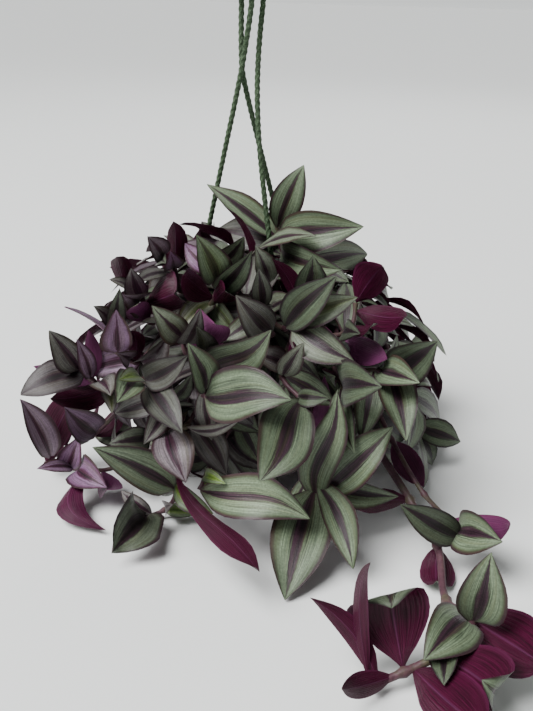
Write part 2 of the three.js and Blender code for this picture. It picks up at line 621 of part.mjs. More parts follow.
// The ways in which a leaf may be bent clear of its neighbours, the smallest change first.
const ways = { swings: [0, 8, -8, 16, -16, 25, -25, 36, -36], rolls: [0, 22, -22], sizes: [1, 0.88, 0.76] };
function* waysOf(leaf) {
  const chord = leaf.tip.clone().sub(leaf.foot);
  const axis = chord.clone().cross(leaf.look).normalize();
  for (const size of ways.sizes) {
    for (const roll of ways.rolls) {
      for (const swing of ways.swings) {
        const swung = turned(chord, axis, swing);
        const top = turned(turned(leaf.top, axis, swing), swung.clone().normalize(), roll);
        const tip = leaf.foot.clone().addScaledVector(swung, size);
        yield { ...leaf, tip, top, wide: leaf.wide * size, arch: leaf.arch * size };
      }
    }
  }
}

// ---- placing: every solid keeps clear of what is already there ----
const placed = [];
function place(solid, shoot) {
  placed.push({ solid, shoot, box: boxOf(solid) });
}
function crosses(guard, accept) {
  const box = boxOf(guard);
  return placed.some((other) => {
    if (!accept(other) || !box.intersectsBox(other.box)) return false;
    const common = guard.intersect(other.solid);
    const hit = !common.isEmpty();
    common.delete();
    return hit;
  });
}

const clearance = 0.6;
const ownShare = 0.15; // leaves of one shoot may meet within this share of their length, and only there
function leafFits(leaf, shoot) {
  const guard = bladeSolid(leaf, clearance);
  const low = boxOf(guard).min.z < 0.5;
  const fits = !low && !crosses(guard, (other) => other.shoot !== shoot);
  guard.delete();
  if (!fits) return false;
  const start = leaf.foot.clone().lerp(leaf.tip, ownShare)
    .addScaledVector(leaf.top, 4 * leaf.arch * ownShare * (1 - ownShare));
  const outer = bladeSolid({ ...leaf, foot: start, arch: leaf.arch * (1 - ownShare) ** 2 }, clearance / 2);
  const clear = !crosses(outer, (other) => other.shoot === shoot);
  outer.delete();
  return clear;
}

// The blade starts a little out from the stem's middle, or as far behind it where the stem ends there
// and would not meet it.
function rootedBlade(leaf, shoot) {
  const ahead = leaf.tip.clone().sub(leaf.foot).normalize();
  const bladeFrom = (out) => bladeSolid({ ...leaf, foot: leaf.foot.clone().addScaledVector(ahead, out) });
  const solid = bladeFrom(blade.footOut);
  return crosses(solid, (other) => other.shoot === shoot) ? solid : bladeFrom(-blade.footOut);
}

function addLeaf(leaf, shoot) {
  for (const way of waysOf(leaf)) {
    if (!leafFits(way, shoot)) continue;
    const solid = rootedBlade(way, shoot);
    place(solid, shoot);
    return solid;
  }
  return null;
}

// ---- stems ----
const liftsTried = [0, 6, 12, 18, 24, 30, -4];
const swaysTried = [0, 6, -6, 12, -12, 18, -18, 24, -24];

// From the bottom of its hole a stem rises, arches over the rim and runs out through its joints.
function stemRoute(hole, joints, lift, sway) {
  const rise = hole.clone().add(vec(0, 0, 14));
  const outwards = vec(joints[0].x - hole.x, joints[0].y - hole.y, 0);
  const sideways = vec(-outwards.y, outwards.x, 0).normalize();
  const over = rise.clone().lerp(joints[0], 0.5).add(vec(0, 0, 4 + lift));
  if (joints[0].z < 100 && Math.hypot(joints[0].x, joints[0].y) > 55) {
    const share = Math.min(0.6, (52 - Math.hypot(hole.x, hole.y)) / outwards.length());
    over.copy(hole).addScaledVector(outwards, share).setZ(97 + lift);
  }
  over.addScaledVector(sideways, sway);
  const low = hole.clone().setZ(soil.top - stem.rootDeep);
  return [low, hole, rise, over, ...joints];
}

// The points of a smooth stem: all the route's own, and more in its long stretches.
function stemPoints(route) {
  const curve = new THREE.CatmullRomCurve3(route, false, "centripetal");
  const points = [route[0]];
  for (let i = 1; i < route.length; i++) {
    const steps = i === 1 ? 1 : Math.ceil(route[i].distanceTo(route[i - 1]) / stem.stepLength);
    for (let k = 1; k <= steps; k++) points.push(curve.getPoint((i - 1 + k / steps) / (route.length - 1)));
  }
  return points;
}

function stemSolid(points, radius) {
  return solidOf(tube(new PathThrough(points), radius, stem.sides, points.length - 1));
}

function addStem(shoot) {
  for (const hole of rootPlacesNear(shoot.root)) {
    for (const lift of liftsTried) {
      for (const sway of swaysTried) {
        const points = stemPoints(stemRoute(hole, shoot.joints, lift, sway));
        const guard = stemSolid(points, stem.radius + 0.5);
        const fits = !crosses(guard, () => true);
        guard.delete();
        if (!fits) continue;
        const solid = stemSolid(points, stem.radius);
        place(solid, shoot.name);
        rootPlaces.splice(rootPlaces.indexOf(hole), 1);
        return { solid, points, hole };
      }
    }
  }
  throw new Error(`no room for ${shoot.name}`);
}

// Leaves that share a joint stand a little apart along the stem, order counting them back from it.
function footOn(points, joint, order) {
  const at = points.indexOf(points.find((p) => p.distanceTo(joint) < 1e-6));
  let left = stem.leafGap * order;
  for (let i = at; i > 0; i--) {
    const step = points[i].distanceTo(points[i - 1]);
    if (left <= step) return points[i].clone().lerp(points[i - 1], left / step);
    left -= step;
  }
  return points[0].clone();
}

// ---- the shoots placed by rule ----
let drawn = fill.seed;
function draw(low, high) {
  drawn = (drawn * 1664525 + 1013904223) % 4294967296;
  return low + ((high - low) * drawn) / 4294967296;
}

const outwardAt = (p) => vec(
  (p.x - dome.x) / dome.wide ** 2, (p.y - dome.y) / dome.long ** 2, (p.z - dome.z + 30) / dome.high ** 2,
).normalize();

function ruledShoot(ring, turn) {
  const around = turn + draw(-5, 5);
  const z = ring.height + draw(0, 8);
  const share = Math.sqrt(1 - ((z - dome.z) / (dome.high - ring.deep)) ** 2);
  const end = vec(
    dome.x + (dome.wide - ring.deep) * share * Math.cos(rad(around)),
    dome.y + (dome.long - ring.deep) * share * Math.sin(rad(around)),
    z,
  );
  const root = { ring: ring.rootRing, turn: around };
  const start = polar(Math.min(50, Math.hypot(end.x, end.y) * 0.55), around, 100);
  const bend = start.clone().lerp(end, 0.6).setZ(Math.max(start.z, end.z) + 5);
  const curve = new THREE.QuadraticBezierCurve3(start, bend, end);
  const joints = [0.42, 0.64, 0.84, 1].map((t) => curve.getPoint(t));
  return { root, joints, leaves: ruledLeaves.slice(-ring.leaves) };
}

// The leaves of a ruled shoot: on which joint, and to which hand of the stem (0 goes straight on).
const ruledLeaves = [
  { on: 0, hand: 1 }, { on: 1, hand: -1 }, { on: 2, hand: 1 }, { on: 2, hand: -1 },
  { on: 3, hand: 0 }, { on: 3, hand: 1 }, { on: 3, hand: -1 },
];

function ruledLeaf(foot, joints, { on, hand }) {
  const stemAhead = joints[on].clone().sub(on ? joints[on - 1] : vec(0, 0, soil.top)).normalize();
  const out = outwardAt(foot);
  const side = out.clone().cross(stemAhead).normalize();
  const spread = rad(fill.spread + draw(-12, 12));
  const ahead = stemAhead.clone().multiplyScalar(hand ? Math.cos(spread) : 1)
    .addScaledVector(side, hand * Math.sin(spread)).addScaledVector(out, 0.18)
    .add(vec(0, 0, -fill.droop)).normalize();
  const long = draw(...fill.long);
  const tip = foot.clone().addScaledVector(ahead, long);
  tip.z = Math.max(tip.z, lowest + 1);
  const chord = tip.clone().sub(foot).normalize();
  const face = out.clone().addScaledVector(chord, -out.dot(chord)).normalize();
  const top = turned(face, chord, draw(-fill.lean, fill.lean));
  return { foot, tip, top, look: out, wide: long * draw(...fill.wideShare), arch: draw(2, 6), fold: 0 };
}

// ---- the whole plant ----
const front = Object.entries(shoots).map(([name, shoot]) => ({ name: `stem_${name}`, ...shoot }));
const ruled = Object.entries(rings).flatMap(([name, ring]) => (
  ring.turns.map((turn, i) => ({ name: `stem_${name}_${i + 1}`, ...ruledShoot(ring, turn) }))
));
const plant = [...front, ...ruled];

// Where a stem may stand in the soil, and the places near the wanted one, the nearest first.
const rootPlaces = rootRings.flatMap(({ out, count }) => (
  Array.from({ length: count }, (_, i) => polar(out, (360 * i) / count, soil.top))
));
function rootPlacesNear({ ring, turn }) {
  const wanted = polar(rootRings[ring].out, turn, soil.top);
  return [...rootPlaces].sort((a, b) => a.distanceTo(wanted) - b.distanceTo(wanted)).slice(0, 5);
}

function leavesOf({ joints, leaves }, points) {
  return leaves.map((leaf, i) => {
    const order = leaves.slice(0, i).filter(({ on }) => on === leaf.on).length;
    const foot = footOn(points, joints[leaf.on], order);
    return leaf.tip ? seenLeaf(foot, leaf) : ruledLeaf(foot, joints, leaf);
  });
}

const material = (color, roughness, metalness = 0) => (
  new THREE.MeshStandardMaterial({ color, roughness, metalness, side: THREE.FrontSide })
);
const finishes = {
  pot: material(0x23302a, 0.5),
  soil: material(0x2b2019, 0.95),
  leaf: material(0x6f7f68, 0.45),
  cord: material(0x27482f, 0.8),
  hanger: material(0x27482f, 0.5),
};

const plantInPot = new THREE.Group();
function addNode(name, solid, finish) {
  const mesh = new THREE.Mesh(geometryOf(solid), finish);
  mesh.name = name;
  plantInPot.add(mesh);
}
function addHolderNode(name, solid, finish) {
  place(solid, name);
  addNode(name, solid, finish);
}

addHolderNode("pot", makePot(), finishes.pot);
addHolderNode("hanger", makeHanger(), finishes.hanger);
for (const [name, { rim, plate }] of Object.entries(cordTurns)) {
  const low = polar(cordHoleOut, rim, pot.high - flange.thick - knot.seat - knot.radius);
  const high = plateHole(plate).setZ(hanger.z + hanger.thick + knot.seat + knot.radius);
  addHolderNode(`cord_${name}`, makeCord(cordRoutes[name]), finishes.cord);
  addHolderNode(`rim_knot_${name}`, knotAt(low.x, low.y, low.z), finishes.cord);
  addHolderNode(`top_knot_${name}`, knotAt(high.x, high.y, high.z), finishes.cord);
}

// The stems close round the pot are laid first, and the others arch over them.
const isInner = ({ name }) => name.includes("inner");
const stems = new Map();
for (const shoot of [...plant.filter(isInner), ...plant.filter((other) => !isInner(other))]) {
  stems.set(shoot, addStem(shoot));
}
addHolderNode("soil", makeSoil([...stems.values()].map(({ hole }) => hole)), finishes.soil);
for (const shoot of plant) {
  const { solid, points } = stems.get(shoot);
  const grown = leavesOf(shoot, points).map((leaf) => addLeaf(leaf, shoot.name)).filter(Boolean);
  addNode(shoot.name, wholeBody(grown.reduce((whole, leaf) => whole.add(leaf), solid)), finishes.leaf);
}

export default plantInPot;
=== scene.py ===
# An inch plant in a small hanging pot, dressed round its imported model.
# Lengths in the tables are in millimetres and mm turns them into metres. -Y is the front.
import math
import random

import bpy
from mathutils import Matrix, Vector
from mathutils.bvhtree import BVHTree
from mathutils.kdtree import KDTree


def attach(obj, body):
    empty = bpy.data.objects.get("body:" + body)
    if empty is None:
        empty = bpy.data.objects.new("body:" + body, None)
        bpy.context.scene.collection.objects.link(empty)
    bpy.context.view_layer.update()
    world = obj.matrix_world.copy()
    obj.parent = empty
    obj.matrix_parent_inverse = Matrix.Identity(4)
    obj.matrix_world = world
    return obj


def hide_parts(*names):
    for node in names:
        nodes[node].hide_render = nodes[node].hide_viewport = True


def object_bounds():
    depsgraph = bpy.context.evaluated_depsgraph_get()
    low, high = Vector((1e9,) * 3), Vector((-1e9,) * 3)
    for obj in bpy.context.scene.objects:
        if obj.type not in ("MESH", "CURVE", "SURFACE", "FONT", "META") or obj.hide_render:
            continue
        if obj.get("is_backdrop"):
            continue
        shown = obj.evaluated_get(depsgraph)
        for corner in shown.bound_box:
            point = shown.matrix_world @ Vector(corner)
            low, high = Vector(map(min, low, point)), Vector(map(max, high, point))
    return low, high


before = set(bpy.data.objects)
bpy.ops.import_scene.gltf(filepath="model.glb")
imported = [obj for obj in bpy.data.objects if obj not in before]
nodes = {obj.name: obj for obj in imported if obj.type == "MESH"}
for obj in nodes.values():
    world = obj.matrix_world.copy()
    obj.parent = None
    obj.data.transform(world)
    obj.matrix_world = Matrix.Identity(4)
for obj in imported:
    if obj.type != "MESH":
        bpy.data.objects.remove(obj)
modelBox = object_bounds()
mm = 0.001
rad = math.radians

# The camera stands where the photograph was taken from.
view = {
    "eye": Vector((8, -475, 267)),
    "pitch": 24.5,
    "roll": 1.6,
    "focal": 775,  # in pixels
    "wide": 533,
    "high": 711,
    "sensor": 36,
}


def addCamera():
    data = bpy.data.cameras.new("view")
    data.lens = view["focal"] * view["sensor"] / view["high"]
    camera = bpy.data.objects.new("view", data)
    bpy.context.collection.objects.link(camera)
    turn = Matrix.Rotation(rad(90 - view["pitch"]), 4, "X") @ Matrix.Rotation(rad(view["roll"]), 4, "Z")
    camera.matrix_world = Matrix.Translation(view["eye"] * mm) @ turn
    bpy.context.scene.camera = camera


addCamera()
print("camera placed")


def polar(out, turn, z):
    return Vector((out * math.cos(rad(turn)), out * math.sin(rad(turn)), z))


def turned(v, axis, degrees):
    return Matrix.Rotation(rad(degrees), 3, axis) @ v


def deselectAll():
    if bpy.context.object and bpy.context.object.mode != "OBJECT":
        bpy.ops.object.mode_set(mode="OBJECT")
    bpy.ops.object.select_all(action="DESELECT")


def pick(obj):
    deselectAll()
    obj.select_set(True)
    bpy.context.view_layer.objects.active = obj


def settle(obj, name):
    # the place goes into the mesh, and the object stands at the origin
    pick(obj)
    bpy.ops.object.transform_apply(location=True, rotation=True, scale=True)
    obj.name = name
    obj.data.name = name
    return obj


def applyAll(obj):
    pick(obj)
    for modifier in list(obj.modifiers):
        bpy.ops.object.modifier_apply(modifier=modifier.name)


def editing(obj):
    pick(obj)
    bpy.ops.object.mode_set(mode="EDIT")
    bpy.ops.mesh.select_all(action="SELECT")


def doneEditing():
    bpy.ops.mesh.select_all(action="SELECT")
    bpy.ops.mesh.normals_make_consistent(inside=False)
    bpy.ops.object.mode_set(mode="OBJECT")


def carryTo(up, radius, was, centre=(0, 0)):
    # extrudes the selected face on to a new height and radius
    bpy.ops.mesh.extrude_region_move(TRANSFORM_OT_translate={"value": (0, 0, (up - was[0]) * mm)})
    share = radius / was[1]
    middle = (centre[0] * mm, centre[1] * mm, up * mm)
    bpy.ops.transform.resize(value=(share, share, 1), center_override=middle)
    return up, radius


def turnedUp(name, around, steps, centre=(0, 0)):
    # a round piece that starts as its lowest face and is extruded step by step: (height, radius)
    deselectAll()
    low, radius = steps[0]
    place = (centre[0] * mm, centre[1] * mm, low * mm)
    bpy.ops.mesh.primitive_circle_add(vertices=around, radius=radius * mm, fill_type="NGON", location=place)
    obj = settle(bpy.context.object, name)
    editing(obj)
    was = steps[0]
    for step in steps[1:]:
        was = carryTo(*step, was, centre)
    return obj


def soften(obj, width, segments=2, angle=35):
    bevel = obj.modifiers.new("softEdges", "BEVEL")
    bevel.width = width * mm
    bevel.segments = segments
    bevel.limit_method = "ANGLE"
    bevel.angle_limit = rad(angle)
    applyAll(obj)


def drill(obj, holes):
    # upright holes: (x, y, radius, low, high)
    cutters = []
    for x, y, radius, low, high in holes:
        deselectAll()
        bpy.ops.mesh.primitive_cylinder_add(vertices=24, radius=radius * mm, depth=(high - low) * mm,
                                            location=(x * mm, y * mm, (low + high) / 2 * mm))
        cutters.append(settle(bpy.context.object, "cutter"))
    joinInto(cutters[0], cutters[1:])
    cut = obj.modifiers.new("holes", "BOOLEAN")
    cut.operation = "DIFFERENCE"
    cut.solver = "EXACT"
    cut.object = cutters[0]
    applyAll(obj)
    bpy.data.objects.remove(cutters[0])


def joinInto(obj, others):
    pick(obj)
    for other in others:
        other.select_set(True)
    bpy.ops.object.join()


def tubeAlong(name, path, radii, closed=False):
    # a round tube with a radius of its own at each point
    curve = bpy.data.curves.new(name, "CURVE")
    curve.dimensions = "3D"
    curve.bevel_depth = mm
    curve.bevel_resolution = 2
    curve.use_fill_caps = True
    spline = curve.splines.new("POLY")
    spline.use_cyclic_u = closed
    spline.points.add(len(path) - 1)
    for point, place, radius in zip(spline.points, path, radii):
        point.co = (*(place * mm), 1)
        point.radius = radius
    obj = bpy.data.objects.new(name, curve)
    bpy.context.collection.objects.link(obj)
    pick(obj)
    bpy.ops.object.convert(target="MESH")
    return bpy.context.object


def finish(obj, node, material, smoothAngle=40):
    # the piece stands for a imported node, with its finish
    pick(obj)
    obj.data.materials.clear()
    obj.data.materials.append(material)
    bpy.ops.object.shade_smooth_by_angle(angle=rad(smoothAngle))
    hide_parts(node)
    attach(obj, "root")


def selectPoints(obj, wanted):
    # in edit mode, selects the vertices that the test wants
    bpy.ops.mesh.select_mode(type="VERT")
    bpy.ops.mesh.select_all(action="DESELECT")
    bpy.ops.object.mode_set(mode="OBJECT")
    for point in obj.data.vertices:
        point.select = wanted(point.co)
    bpy.ops.object.mode_set(mode="EDIT")


def smoothPath(route, steps):
    # the centripetal curve through the points of a route, with a number of steps for each stretch
    points = [route[0].copy()]
    for i in range(1, len(route)):
        b, c = route[i - 1], route[i]
        a = route[i - 2] if i > 1 else b * 2 - c
        d = route[i + 1] if i + 1 < len(route) else c * 2 - b
        gaps = [max(1e-4, (q - p).length) ** 0.5 for p, q in ((a, b), (b, c), (c, d))]
        leave = ((b - a) / gaps[0] - (c - a) / (gaps[0] + gaps[1]) + (c - b) / gaps[1]) * gaps[1]
        reach = ((c - b) / gaps[1] - (d - b) / (gaps[1] + gaps[2]) + (d - c) / gaps[2]) * gaps[1]
        for k in range(1, steps[i - 1] + 1):
            t = k / steps[i - 1]
            points.append(
                b * (2 * t**3 - 3 * t**2 + 1) + leave * (t**3 - 2 * t**2 + t)
                + c * (3 * t**2 - 2 * t**3) + reach * (t**3 - t**2)
            )
    return points


# The three cords are taut from the hanger to the rim.
cord = {
    "radius": 1.75,
    "diameter": 3.1,  # as packed; with the grooves between its strands it measures 3.0
    "strands": 3,
    "strandDepth": 0.2,
    "lay": 12,  # length of one full twist
    "around": 18,
    "step": 0.8,
}
cordRoutes = {
    "left": [
        (-5.3, -11, 273), (-5.3, -11, 268.5), (-6.4, -10.2, 259), (-7.9, -9, 249), (-9.5, -7.6, 239),
        (-10.9, -6.4, 231), (-12.9, -5.3, 221), (-15.6, -4.4, 208), (-18.6, -3.4, 194), (-21.8, -2.2, 179),
        (-25.2, -0.9, 163), (-28.6, 0.5, 147), (-32, 1.9, 131), (-35.4, 3.4, 115), (-38.6, 4.8, 101),
        (-41.2, 5.7, 90), (-41.59, 5.85, 83.4),
    ],
    "back": [
        (-11.36, -0.5, 273), (-11.36, -0.5, 268.5), (-11.4, -1, 259), (-11.3, -1.8, 249), (-11, -2.6, 239),
        (-10.4, -2.9, 231), (-8.4, -1.2, 221), (-5.2, 2.2, 208), (-1.6, 5.6, 194), (2.4, 9.4, 179),
        (6.6, 13.4, 163), (10.8, 17.5, 147), (15, 21.7, 131), (19.4, 26, 115), (23.2, 30, 101),
        (25.5, 32.6, 90), (25.86, 33.1, 83.4),
    ],
    "front": [
        (0.76, -0.5, 273), (0.76, -0.5, 268.5), (0, -1.8, 259), (-0.8, -3.4, 249), (-1.3, -5.2, 239),
        (-1.5, -6.8, 231), (-1.5, -9, 221), (-0.9, -12, 208), (0.2, -15.2, 194), (2, -18.6, 179),
        (4.2, -22.2, 163), (6.6, -25.8, 147), (9, -29.4, 131), (11.6, -33, 115), (14, -36.4, 101),
        (15.5, -38.6, 90), (15.73, -38.94, 83.4),
    ],
}
knot = {
    "out": 1.75, "strand": 0.95, "rise": 1.1, "stub": 3, "tail": 6.5, "points": 60,
    "rimTurn": 40, "topTurn": 100,
}


def modelKnot():
    # a strand tied in a ball, with a stub that meets the cord and a short tail below
    path = []
    for i in range(knot["points"]):
        t = 2 * math.pi * i / knot["points"]
        path.append(Vector((
            knot["out"] * (math.sin(t) + 2 * math.sin(2 * t)) / 3,
            knot["out"] * (math.cos(t) - 2 * math.cos(2 * t)) / 3,
            -knot["rise"] * math.sin(3 * t),
        )))
    ball = tubeAlong("knotForm", path, [knot["strand"]] * len(path), closed=True)
    ends = [Vector((0, 0, knot["stub"])), Vector((0.1, 0, 0)), Vector((0.6, 0.3, -knot["tail"] * 0.6)),
            Vector((1.1, 0.9, -knot["tail"]))]
    tail = tubeAlong("knotTail", smoothPath(ends, [6, 6, 6]), [knot["strand"]] * 15 + [0.9, 0.8, 0.65, 0.3])
    joinInto(ball, [tail])
    return ball


masterKnot = modelKnot()


def addKnot(node, place, turn, above=False):
    # below the rim as modelled, and upside down over the hanger's plate
    obj = masterKnot.copy()
    obj.data = masterKnot.data.copy()
    bpy.context.collection.objects.link(obj)
    obj.name = obj.data.name = node.replace("knot", "tie")
    editing(obj)
    bpy.ops.transform.rotate(value=rad(turn), orient_axis="Z", center_override=(0, 0, 0))
    if above:
        bpy.ops.transform.rotate(value=math.pi, orient_axis="X", center_override=(0, 0, 0))
    bpy.ops.transform.translate(value=place * mm)
    doneEditing()
    return obj


def cordMesh(name, path):
    # a twisted tube: each ring of the section is turned a little further than the last
    around = cord["around"]
    points, along = [], 0
    for i, p in enumerate(path):
        ahead = (path[min(i + 1, len(path) - 1)] - path[max(i - 1, 0)]).normalized()
        side = ahead.cross(Vector((0, 1, 0))).normalized()
        up = ahead.cross(side)
        if i:
            along += (p - path[i - 1]).length
        twist = 2 * math.pi * along / cord["lay"]
        for k in range(around):
            turn = 2 * math.pi * k / around
            dent = abs(math.sin(turn * cord["strands"] / 2)) ** 1.4
            out = cord["radius"] * (1 - cord["strandDepth"] * dent)
            points.append((p + side * out * math.cos(turn + twist) + up * out * math.sin(turn + twist)) * mm)
    faces = []
    for i in range(len(path) - 1):
        for k in range(around):
            a, b = i * around + k, i * around + (k + 1) % around
            faces.append((a, b, b + around, a + around))
    faces.append(tuple(reversed(range(around))))
    faces.append(tuple(range(len(points) - around, len(points))))
    mesh = bpy.data.meshes.new(name)
    mesh.from_pydata(points, [], faces)
    uv = mesh.uv_layers.new(name="UVMap")
    for face in mesh.polygons:
        for loop in face.loop_indices:
            i, k = divmod(mesh.loops[loop].vertex_index, around)
            wrapped = around if k == 0 and face.index % around == around - 1 else k
            uv.data[loop].uv = (wrapped / around, i / (len(path) - 1))
    mesh.polygons.foreach_set("use_smooth", [True] * len(mesh.polygons))
    return mesh


def addCord(name):
    route = [Vector(p) for p in cordRoutes[name]]
    steps = [max(1, round((b - a).length / cord["step"])) for a, b in zip(route, route[1:])]
    path = smoothPath(route, steps)
    rope = bpy.data.objects.new("rope_" + name, cordMesh("rope_" + name, path))
    bpy.context.collection.objects.link(rope)
    editing(rope)
    doneEditing()
    length = sum((b - a).length for a, b in zip(path, path[1:])) * mm
    low = [p * mm for p in reversed(path)]
    reach = Vector((0, 0, knot["stub"]))
    ties = [
        addKnot("rim_knot_" + name, route[-1] - reach, knot["rimTurn"]),
        addKnot("top_knot_" + name, route[0] + reach, knot["topTurn"], above=True),
    ]
    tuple(low[0])
    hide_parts("cord_" + name)
    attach(rope, "root")
    print("cord", name, round(length * 1000, 1), "mm")
    return rope, ties


ropes = {name: addCord(name) for name in cordRoutes}


def newMaterial(name, roughness, specular=0.5):
    material = bpy.data.materials.new(name)
    material.use_nodes = True
    shader = material.node_tree.nodes["Principled BSDF"]
    shader.inputs["Roughness"].default_value = roughness
    shader.inputs["Specular IOR Level"].default_value = specular
    return material, shader


def addNode(material, kind, **settings):
    node = material.node_tree.nodes.new(kind)
    for key, value in settings.items():
        setattr(node, key, value)
    return node


def link(material, source, target):
    material.node_tree.links.new(source, target)


def feed(material, socket, value):
    # a socket is given a number, a colour or another socket
    if isinstance(value, bpy.types.NodeSocket):
        link(material, value, socket)
    else:
        socket.default_value = value


def maths(material, operation, first, second=0.5):
    node = addNode(material, "ShaderNodeMath", operation=operation)
    feed(material, node.inputs[0], first)
    feed(material, node.inputs[1], second)
    return node.outputs[0]


def mixed(material, share, first, second, blend="MIX"):
    node = addNode(material, "ShaderNodeMix", data_type="RGBA", blend_type=blend)
    feed(material, node.inputs["Factor"], share)
    feed(material, node.inputs["A"], first)
    feed(material, node.inputs["B"], second)
    return node.outputs["Result"]


def noise(material, vector, scale, detail=3, roughness=0.55, distortion=0):
    node = addNode(material, "ShaderNodeTexNoise")
    feed(material, node.inputs["Vector"], vector)
    node.inputs["Scale"].default_value = scale
    node.inputs["Detail"].default_value = detail
    node.inputs["Roughness"].default_value = roughness
    node.inputs["Distortion"].default_value = distortion
    return node.outputs["Fac"]


def ramp(material, share, stops):
    # each stop is a place and a colour, or a number for a grey
    node = addNode(material, "ShaderNodeValToRGB")
    feed(material, node.inputs["Fac"], share)
    marks = node.color_ramp.elements
    while len(marks) < len(stops):
        marks.new(0.5)
    for mark, (place, colour) in zip(marks, stops):
        mark.position = place
        mark.color = colour if isinstance(colour, tuple) else (colour, colour, colour, 1)
    return node.outputs["Color"]


def bump(material, shader, height, distance, strength=1.0):
    node = addNode(material, "ShaderNodeBump")
    node.inputs["Strength"].default_value = strength
    node.inputs["Distance"].default_value = distance
    link(material, height, node.inputs["Height"])
    link(material, node.outputs["Normal"], shader.inputs["Normal"])


def hexColour(text):
    # an sRGB colour as the linear one that a socket takes
    parts = [int(text[i:i + 2], 16) / 255 for i in (1, 3, 5)]
    return tuple(c / 12.92 if c < 0.04045 else ((c + 0.055) / 1.055) ** 2.4 for c in parts) + (1,)


# On a leaf u runs across the blade, with the midrib at a half, and v from foot to tip.
leafColours = {
    "vein": "#10080c",
    "midrib": "#200f18",
    "midribEdge": "#3a2230",
    "silver": "#6b7a61",
    "silverDeep": "#3f4a36",
    "margin": "#2f1422",
    "marginEdge": "#43142c",
    "purpleSilver": "#7b5c7a",
    "purpleDeep": "#451a36",
    "olive": "#58542f",
    "bud": "#6f8a36",
    "budMid": "#4d6a1c",
    "under": "#440e2a",
    # painted shade and painted light: a shaded and a lit copy of the underside colour
    "underShaded": "#260716",
    "underLit": "#5c2044",
    # a pink that is painted light shining through the blade, and also the paler midrib ridge
    "underPink": "#854876",
    "stem": "#54363f",
    "stemGreen": "#504f39",
    "stemDark": "#361b26",
}
leafGrain = {"map": "UVMap", "across": 46, "along": 3.2, "apart": 37, "fine": 900, "veins": 15}


def tint(name):
    return hexColour(leafColours[name])


def leafPattern(material):
    # the lengths that the leaf materials share: distance from the midrib, place along, and grain
    place = addNode(material, "ShaderNodeUVMap", uv_map=leafGrain["map"]).outputs["UV"]
    parts = addNode(material, "ShaderNodeSeparateXYZ")
    link(material, place, parts.inputs[0])
    u, v = parts.outputs[0], parts.outputs[1]
    chance, tone, young = (
        addNode(material, "ShaderNodeAttribute", attribute_name=name).outputs["Fac"]
        for name in ("chance", "tone", "young")
    )
    grainPlace = addNode(material, "ShaderNodeCombineXYZ")
    link(material, maths(material, "MULTIPLY", u, leafGrain["across"]), grainPlace.inputs[0])
    link(material, maths(material, "MULTIPLY", v, leafGrain["along"]), grainPlace.inputs[1])
    link(material, maths(material, "MULTIPLY", chance, leafGrain["apart"]), grainPlace.inputs[2])
    grain = noise(material, grainPlace.outputs[0], 1.0, 3, 0.6)
    off = maths(material, "ABSOLUTE", maths(material, "SUBTRACT", u, 0.5))
    off = maths(material, "MULTIPLY", off, 2.0)
    return {"u": u, "v": v, "off": off, "grain": grain, "chance": chance, "tone": tone, "young": young,
            "place": grainPlace.outputs[0]}


def about(material, value, share):
    # a share of how far a value that lies round a half is from it
    return maths(material, "MULTIPLY", maths(material, "SUBTRACT", value, 0.5), share)


def leafBands(material, p, softEdge, streakShift):
    # the dark stripe thins out towards the tip, and is broader on some leaves than on others
    thinning = ramp(material, p["v"], [(0.5, 0.0), (1.0, 0.2)])
    off = p["off"]
    for shift in (about(material, softEdge, 0.3), streakShift, thinning, about(material, p["chance"], 0.12)):
        off = maths(material, "ADD", off, shift)
    silver = ramp(material, off, [
        (0.0, tint("midrib")),
        (0.2, tint("midribEdge")),
        (0.25, tint("silverDeep")),
        (0.34, tint("silver")),
        (0.72, tint("silver")),
        (0.95, tint("silverDeep")),
    ])
    purple = ramp(material, off, [
        (0.0, tint("midrib")),
        (0.2, tint("purpleDeep")),
        (0.34, tint("purpleSilver")),
        (0.7, tint("purpleSilver")),
        (0.95, tint("purpleDeep")),
    ])
    green = ramp(material, off, [
        (0.0, tint("budMid")),
        (0.25, tint("bud")),
        (0.7, tint("silver")),
        (1.0, tint("budMid")),
    ])
    return mixed(material, p["young"], mixed(material, p["tone"], silver, purple), green)


